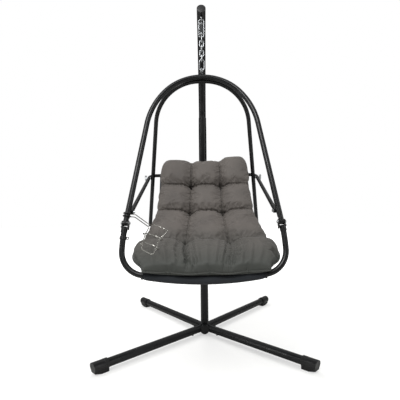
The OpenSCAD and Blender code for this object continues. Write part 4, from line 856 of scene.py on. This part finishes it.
class EGG_OT_sling(bpy.types.Operator):
    """Make the sling under the cushion, its hems and their stitches"""

    bl_idname = "egg.sling"
    bl_label = "Sling"

    def execute(self, context):
        fabric = context.scene.egg_fabric
        cloth = coated_polyester(fabric)
        stitches = beads_tree(sewing_thread(fabric))
        cols = SLING_COLS
        hems = {"seat": self.rail_hem(cloth), "back": self.back_hem(cloth)}
        for name, body, bend, low, high, rows in (("sling_seat", "seat", SEAT_BEND, 0.0, CREASE_T, 56),
                                                  ("sling_back", "back", BACK_BEND, CREASE_T, 1.0, 32)):
            ts = [low + (high - low) * i / rows for i in range(rows + 1)]
            if low == 0.0:
                ts = [WRAP_END * (WRAP_ROWS - i) / WRAP_ROWS for i in range(WRAP_ROWS)] + ts
                rows = len(ts) - 1
            points = [sling_surface(t, 2 * j / cols - 1) for t in ts for j in range(cols + 1)]
            faces, corners = grid_faces(rows + 1, cols + 1)
            run = [0.0]
            for a, b in zip(ts, ts[1:]):
                run.append(run[-1] + (sling_surface(b, 0) - sling_surface(a, 0)).length)
            uvs = [((2 * j / cols - 1) * SLING_HALF * MM, run[i]) for i, j in corners]
            sheet = mesh_object(name, points, faces, uvs, cloth)
            solid = sheet.modifiers.new("thickness", "SOLIDIFY")
            solid.thickness, solid.offset = CLOTH_T, 0.0
            lines = [[sling_surface(t, side * x) + self.lift(t, face * STITCH_LIFT) for t in ts if t >= 0]
                     for side in (-1, 1) for x in STITCH_ROWS for face in (1, -1)]
            seams = along_paths(name + "_stitches", lines, stitches, Pitch=fabric.stitch_pitch,
                                Length=fabric.stitch_len, Width=STITCH_W)
            for piece in (sheet, seams):
                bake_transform(piece)
            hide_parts("sling")
        return {"FINISHED"}

    def lift(self, t, height):
        """Offset of a stitch from the cloth's middle."""
        _, (ny, nz) = sling_point(max(t, 0.0))
        return Vector((0, ny, nz)) * height

    def hem(self, name, path, diameter, node, body, cloth, seed):
        """Hem sleeve with a few puckers, riding on its rail."""
        count = len(path)
        random = np.random.default_rng(seed)
        phases = random.uniform(0, 2 * math.pi, len(HEM_PUCKERS))
        radii = []
        for i in range(count):
            f = i / (count - 1)
            pucker = sum(math.sin(2 * math.pi * n * f + p) for n, p in zip(HEM_PUCKERS, phases)) / 4
            end = min(1.0, 6 * min(f, 1 - f) + 0.75)
            radii.append(diameter / 2 * MM * (1 + HEM_SWELL * pucker) * end)
        points, faces, uvs = tube_mesh(path, radii, 28)
        made = mesh_object(name, points, faces, uvs, cloth)
        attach(made, body)
        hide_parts(node)
        return made

    def rail_hem(self, cloth):
        """Hem round the seat rail's bow."""
        path = [arch_point(BOW_R * math.sin(a), BOW_V + HEM_SAG - BOW_R * (1 - math.cos(a)))
                for a in np.linspace(-HEM_HALF, HEM_HALF, 90)]
        return self.hem("seat_hem", path, HEM_D + 2 * HEM_SAG, "rail_hem", "seat", cloth, 3)

    def back_hem(self, cloth):
        """Hem round the back rail's crossbar."""
        path = [Vector((x, *CROSSBAR)) * MM for x in np.linspace(-SLING_HALF, SLING_HALF, 90)]
        return self.hem("top_hem", path, BACK_HEM_D, "back_hem", "back", cloth, 5)


# ---- hardware


BASKET_HOME, BASKET_LEAN = (-229.0, -870.02, 652.0), math.radians(20)
# The holder's grips: height over the hinge bolt, step between the two, and distance from the tube's middle
GRIP_LOW, GRIP_STEP, GRIP_R = 32.0, 12.0, 15.95
# The holder's hoops: radius, half their width at the frame, and heights
HOOP_R, HOOP_X, HOOPS = 42, 30, (62, 22)
# Each wire's corners, as x, y, z in the holder's own frame, from the grip to where the two meet
LOWER_WIRE = ((-24, 0, 97), (-30, 0, 62), (-25, 0, 4), (25, 0, -3), (30, 0, 22), (30, 0, 62), (50, 8, 106))
UPPER_WIRE = ((-30, 14, 106), (-24, 50, 106), (10, 66, 106), (42, 44, 106), (50, 8, 106))
# Welds, in metres: places and radii of the rings round the staples' feet
STAPLE_IN, STAPLE_UP, STAPLE_R = 0.0025, 0.0128, 0.0034
ARM_FOOT_Y, ARM_FOOT_DOWN, ARM_FOOT_R, ARM_FOOT_AXIS = 0.0100, 0.0030, 0.0042, (0, -0.35, 1)
# Welds of the ears: points down the arch and behind it, in millimetres, and places beside each ear, in metres
EAR_POINTS, EAR_IN, EAR_FACE = ((692, 11.6), (702, 12.3), (706, 11.6)), 0.002, 0.0028
# Welds of the hinge sleeve: points behind the arch's top and over a level below it, in millimetres
SADDLE_DOWN, SADDLE = 6.0, ((11.5, 6.2), (9.5, 3.0), (9.0, -1.0), (9.6, -5.0))
# Feet: each pair's turn from straight ahead in degrees and its mouth's distance from the post in metres
FEET = ((45.3, 0.7002), (180 - 39.5, 0.7122))
# Height of a foot's mouth, the ribs' radius and start, and how many pitches they run
MOUTH_Z, RIB_R, RIB_START, RIB_RUN = 0.036, 0.0262, 0.002, 2.05


class EGG_OT_bottle_holder(bpy.types.Operator):
    """Make the bent wire bottle holder"""

    bl_idname = "egg.bottle_holder"
    bl_label = "Bottle holder"

    def execute(self, context):
        hardware = context.scene.egg_hardware
        wire = chrome_plated_wire(context.scene.egg_finish)
        lower, upper = ([side_point(along, GRIP_R, 0), side_point(along, GRIP_R + 20, 6),
                         *(basket_point(*corner) for corner in corners)]
                        for along, corners in ((GRIP_LOW, LOWER_WIRE), (GRIP_LOW + GRIP_STEP, UPPER_WIRE)))
        back = math.sqrt(HOOP_R ** 2 - HOOP_X ** 2)
        start = math.atan2(-back, HOOP_X)
        hoops = [[basket_point(HOOP_R * math.cos(a), back + HOOP_R * math.sin(a), z)
                  for a in np.linspace(start, math.pi - start, 40)] for z in HOOPS]
        bend = hardware.wire_bend
        made = tube_object("bottle_holder_wire", [rounded(lower, bend), rounded(upper, bend * 2), *hoops],
                           hardware.wire_d / 2, wire, 12)
        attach(made, "holder")
        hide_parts("bottle_holder")
        return {"FINISHED"}


def ring_path(centre, axis, radius, count=24):
    """Closed path of so many points round an axis, the last of them on the first."""
    axis = Vector(axis).normalized()
    first = axis.orthogonal().normalized()
    second = axis.cross(first)
    path = [Vector(centre) + first * radius * math.cos(a) + second * radius * math.sin(a)
            for a in np.linspace(0, 2 * math.pi, count)]
    path[-1] = path[0].copy()
    return path


class EGG_OT_welds(bpy.types.Operator):
    """Lay weld beads where the frame's brackets join its tubes"""

    bl_idname = "egg.welds"
    bl_label = "Welds"

    def execute(self, context):
        hardware = context.scene.egg_hardware
        beads = beads_tree(powder_coated_steel(context.scene.egg_finish))
        low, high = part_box("arch_staple")
        feet = [ring_path((x, HANG_Y * MM, ARCH_TOP_Z * MM + STAPLE_UP), (0, 0, 1), STAPLE_R)
                for x in (low.x + STAPLE_IN, high.x - STAPLE_IN)]
        low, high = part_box("arm_staple")
        arm_feet = [ring_path((0, (low.y + high.y) / 2 + s * ARM_FOOT_Y, high.z - ARM_FOOT_DOWN),
                              ARM_FOOT_AXIS, ARM_FOOT_R) for s in (-1, 1)]
        ear_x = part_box("rail_ears")[1].x - EAR_IN
        seam = [arch_point(0, down, off) for down, off in EAR_POINTS]
        ears = [[Vector((side * ear_x + face, p.y, p.z)) for p in seam]
                for side in (-1, 1) for face in (-EAR_FACE, EAR_FACE)]
        mid_z = (ARCH_TOP_Z - SADDLE_DOWN) * MM
        saddle = [[Vector((end.x, (HANG_Y + d) * MM, mid_z + e * MM)) for d, e in SADDLE]
                  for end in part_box("hinge_sleeve")]
        for name, paths, body in (("arch_welds", feet + ears + saddle, "chair"),
                                  ("arm_welds", arm_feet, "stand")):
            made = along_paths(name, paths, beads, Pitch=hardware.weld_pitch,
                               Length=hardware.weld_pitch * 1.3, Width=hardware.weld_w)
            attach(made, body)
        return {"FINISHED"}


class EGG_OT_foot_ribs(bpy.types.Operator):
    """Set the ribs round the mouth of each foot"""

    bl_idname = "egg.foot_ribs"
    bl_label = "Foot ribs"

    def execute(self, context):
        hardware = context.scene.egg_hardware
        ribs = ribs_tree(moulded_polypropylene(context.scene.egg_finish))
        paths = []
        for turn, reach in FEET:
            for side in (-1, 1):
                way = Vector((side * math.sin(math.radians(turn)), -math.cos(math.radians(turn)), 0))
                mouth = way * reach + Vector((0, 0, MOUTH_Z))
                end = RIB_START + RIB_RUN * hardware.rib_pitch
                paths.append([mouth + way * RIB_START, mouth + way * end])
        made = along_paths("foot_ribs", paths, ribs, Pitch=hardware.rib_pitch, Radius=RIB_R,
                           Thickness=hardware.rib_d)
        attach(made, "stand")
        return {"FINISHED"}


class EGG_OT_finishes(bpy.types.Operator):
    """Give every solid its finish"""

    bl_idname = "egg.finishes"
    bl_label = "Finishes"

    def execute(self, context):
        finish = context.scene.egg_finish
        by_slot = {
            "frame": powder_coated_steel(finish), "plastic": moulded_polypropylene(finish),
            "bright_steel": zinc_plated_steel(finish), "dull_steel": spring_steel(finish),
            "sling_cloth": coated_polyester(context.scene.egg_fabric),
            "cushion_cloth": woven_polyester(context.scene.egg_fabric),
        }
        for row in frame["record"]["subparts"]:
            solid = frame["nodes"][row["node"]]
            solid.data.materials.clear()
            solid.data.materials.append(by_slot[row["material_slot"]])
        return {"FINISHED"}


# ---- stage


# The floor's corners, and how far it lies under the feet
FLOOR, FLOOR_DOWN = ((-9, -9, 0), (9, -9, 0), (9, 9, 0), (-9, 9, 0)), 0.0005
# Soft lights: place, width, height and share of the key light's power. All look at the chair
LAMPS = {"key": ((-1.1, -2.9, 3.5), 1.5, 1.5, 1.9), "fill": ((2.9, -2.2, 2.4), 1.0, 1.0, 0.12),
         "rim": ((-0.5, 2.6, 3.2), 1.3, 1.3, 1.3), "strip_left": ((-2.6, -1.0, 1.3), 0.22, 2.4, 0.3),
         "strip_right": ((2.4, -1.6, 1.3), 0.22, 2.4, 0.2)}
CHAIR_MIDDLE = Vector((0, -0.3, 0.9))
# The floor's glow to the eye: from and to which distance from the post it grows, and from which strength to 1
GLOW_FROM, GLOW_TO, GLOW_NEAR = 0.9, 1.7, 0.52
# The room's light: up to which height it grows, its strength low and high, and the share of it in reflections
ROOM_TOP, ROOM_LOW, ROOM_HIGH, ROOM_SHINE = 0.9, 0.04, 1.15, 0.55
# Width of the camera's sensor in millimetres, and its picture's shift as a share of the width
SENSOR, SHIFT_X = 36, -0.00825


class EGG_OT_stage(bpy.types.Operator):
    """Set up the pale floor, the soft lights and the camera"""

    bl_idname = "egg.stage"
    bl_label = "Stage"

    def execute(self, context):
        stage = context.scene.egg_stage
        floor = mesh_object("floor", FLOOR, [(0, 1, 2, 3)], material=self.floor_material(stage),
                            smooth=False)
        floor.location.z = -FLOOR_DOWN
        self.world()
        for name, (at, size, tall, share) in LAMPS.items():
            lamp = bpy.data.lights.new(name, "AREA")
            lamp.shape, lamp.energy, lamp.size, lamp.size_y = "RECTANGLE", stage.key_power * share, size, tall
            made = bpy.data.objects.new(name, lamp)
            made.location = at
            made.visible_glossy = name != "rim"
            made.rotation_euler = (CHAIR_MIDDLE - Vector(at)).to_track_quat("-Z", "Y").to_euler()
            context.scene.collection.objects.link(made)
        self.camera(stage)
        context.scene.view_settings.view_transform = "Standard"
        return {"FINISHED"}

    def floor_material(self, stage):
        """Matt pale floor that the eye sees close to white."""
        material = bpy.data.materials.new("matt_painted_floor")
        material.use_nodes = True
        tree = material.node_tree
        tree.nodes.clear()
        seen = add(tree, "ShaderNodeLightPath").outputs["Is Camera Ray"]
        matt = add(tree, "ShaderNodeBsdfDiffuse", {"Color": stage.floor})
        away = add(tree, "ShaderNodeVectorMath", {0: add(tree, "ShaderNodeTexCoord").outputs["Object"]},
                   operation="LENGTH").outputs["Value"]
        level = add(tree, "ShaderNodeMapRange", {"Value": away, "From Min": GLOW_FROM, "From Max": GLOW_TO,
                                                 "To Min": GLOW_NEAR, "To Max": 1.0})
        strength = add(tree, "ShaderNodeMath", {0: seen, 1: level.outputs[0]}, operation="MULTIPLY")
        glow = add(tree, "ShaderNodeEmission", {"Color": (1, 1, 1, 1), "Strength": strength.outputs[0]})
        both = add(tree, "ShaderNodeAddShader", {0: matt.outputs[0], 1: glow.outputs[0]})
        add(tree, "ShaderNodeOutputMaterial", {0: both.outputs[0]})
        return material

    def world(self):
        """Soft white surround."""
        world = bpy.data.worlds.new("studio")
        bpy.context.scene.world = world
        world.use_nodes = True
        tree = world.node_tree
        tree.nodes.clear()
        rays = add(tree, "ShaderNodeLightPath").outputs
        way = add(tree, "ShaderNodeSeparateXYZ", {0: add(tree, "ShaderNodeTexCoord").outputs["Generated"]})
        room = add(tree, "ShaderNodeMapRange", {"Value": way.outputs["Z"], "From Max": ROOM_TOP,
                                                "To Min": ROOM_LOW, "To Max": ROOM_HIGH})
        shine = add(tree, "ShaderNodeMapRange", {"Value": rays["Is Glossy Ray"], "To Min": 1.0,
                                                 "To Max": ROOM_SHINE})
        lit = add(tree, "ShaderNodeMath", {0: room.outputs[0], 1: shine.outputs[0]}, operation="MULTIPLY")
        strength = add(tree, "ShaderNodeMix", {0: rays["Is Camera Ray"], 2: lit.outputs[0], 3: 1.0})
        light = add(tree, "ShaderNodeBackground", {"Color": (1, 1, 1, 1), "Strength": strength.outputs[0]})
        add(tree, "ShaderNodeOutputWorld", {0: light.outputs[0]})

    def camera(self, stage):
        """Level camera in front of the chair, turned a little on its axis."""
        data = bpy.data.cameras.new("camera")
        data.lens, data.sensor_width, data.shift_x = stage.lens, SENSOR, SHIFT_X
        eye = bpy.data.objects.new("camera", data)
        eye.matrix_world = (Matrix.Translation((0, -stage.eye_distance, stage.eye_height))
                            @ Matrix.Rotation(math.pi / 2, 4, "X") @ Matrix.Rotation(-stage.roll, 4, "Z"))
        bpy.context.scene.collection.objects.link(eye)
        bpy.context.scene.camera = eye


class EGG_PT_panel(bpy.types.Panel):
    """Pieces of the egg chair, in the order they are made"""

    bl_idname = "EGG_PT_panel"
    bl_label = "Hanging egg chair"
    bl_space_type = "VIEW_3D"
    bl_region_type = "UI"
    bl_category = "Egg chair"

    def draw(self, context):
        for settings in (context.scene.egg_finish, context.scene.egg_fabric,
                         context.scene.egg_hardware, context.scene.egg_stage):
            box = self.layout.box()
            for name in settings.bl_rna.properties.keys():
                if name not in ("rna_type", "name"):
                    box.prop(settings, name)
        for operator in OPERATORS:
            self.layout.operator(operator.bl_idname)


OPERATORS = (EGG_OT_stage, EGG_OT_finishes, EGG_OT_cushion, EGG_OT_sling, EGG_OT_bottle_holder,
             EGG_OT_welds, EGG_OT_foot_ribs)
SETTINGS = {"egg_finish": EggFinishSettings, "egg_fabric": EggFabricSettings,
            "egg_hardware": EggHardwareSettings, "egg_stage": EggStageSettings}


def register():
    """Adds the settings, operators and panel."""
    for name, group in SETTINGS.items():
        bpy.utils.register_class(group)
        setattr(bpy.types.Scene, name, bpy.props.PointerProperty(type=group))
    for made in (*OPERATORS, EGG_PT_panel):
        bpy.utils.register_class(made)


def unregister():
    """Takes them out again."""
    for made in reversed((*OPERATORS, EGG_PT_panel)):
        bpy.utils.unregister_class(made)
    for name, group in SETTINGS.items():
        delattr(bpy.types.Scene, name)
        bpy.utils.unregister_class(group)


def main():
    """Makes everything in order."""
    register()
    for operator in (bpy.ops.egg.stage, bpy.ops.egg.finishes, bpy.ops.egg.cushion, bpy.ops.egg.sling,
                     bpy.ops.egg.bottle_holder, bpy.ops.egg.welds, bpy.ops.egg.foot_ribs):
        operator()


if __name__ == "__main__":
    main()
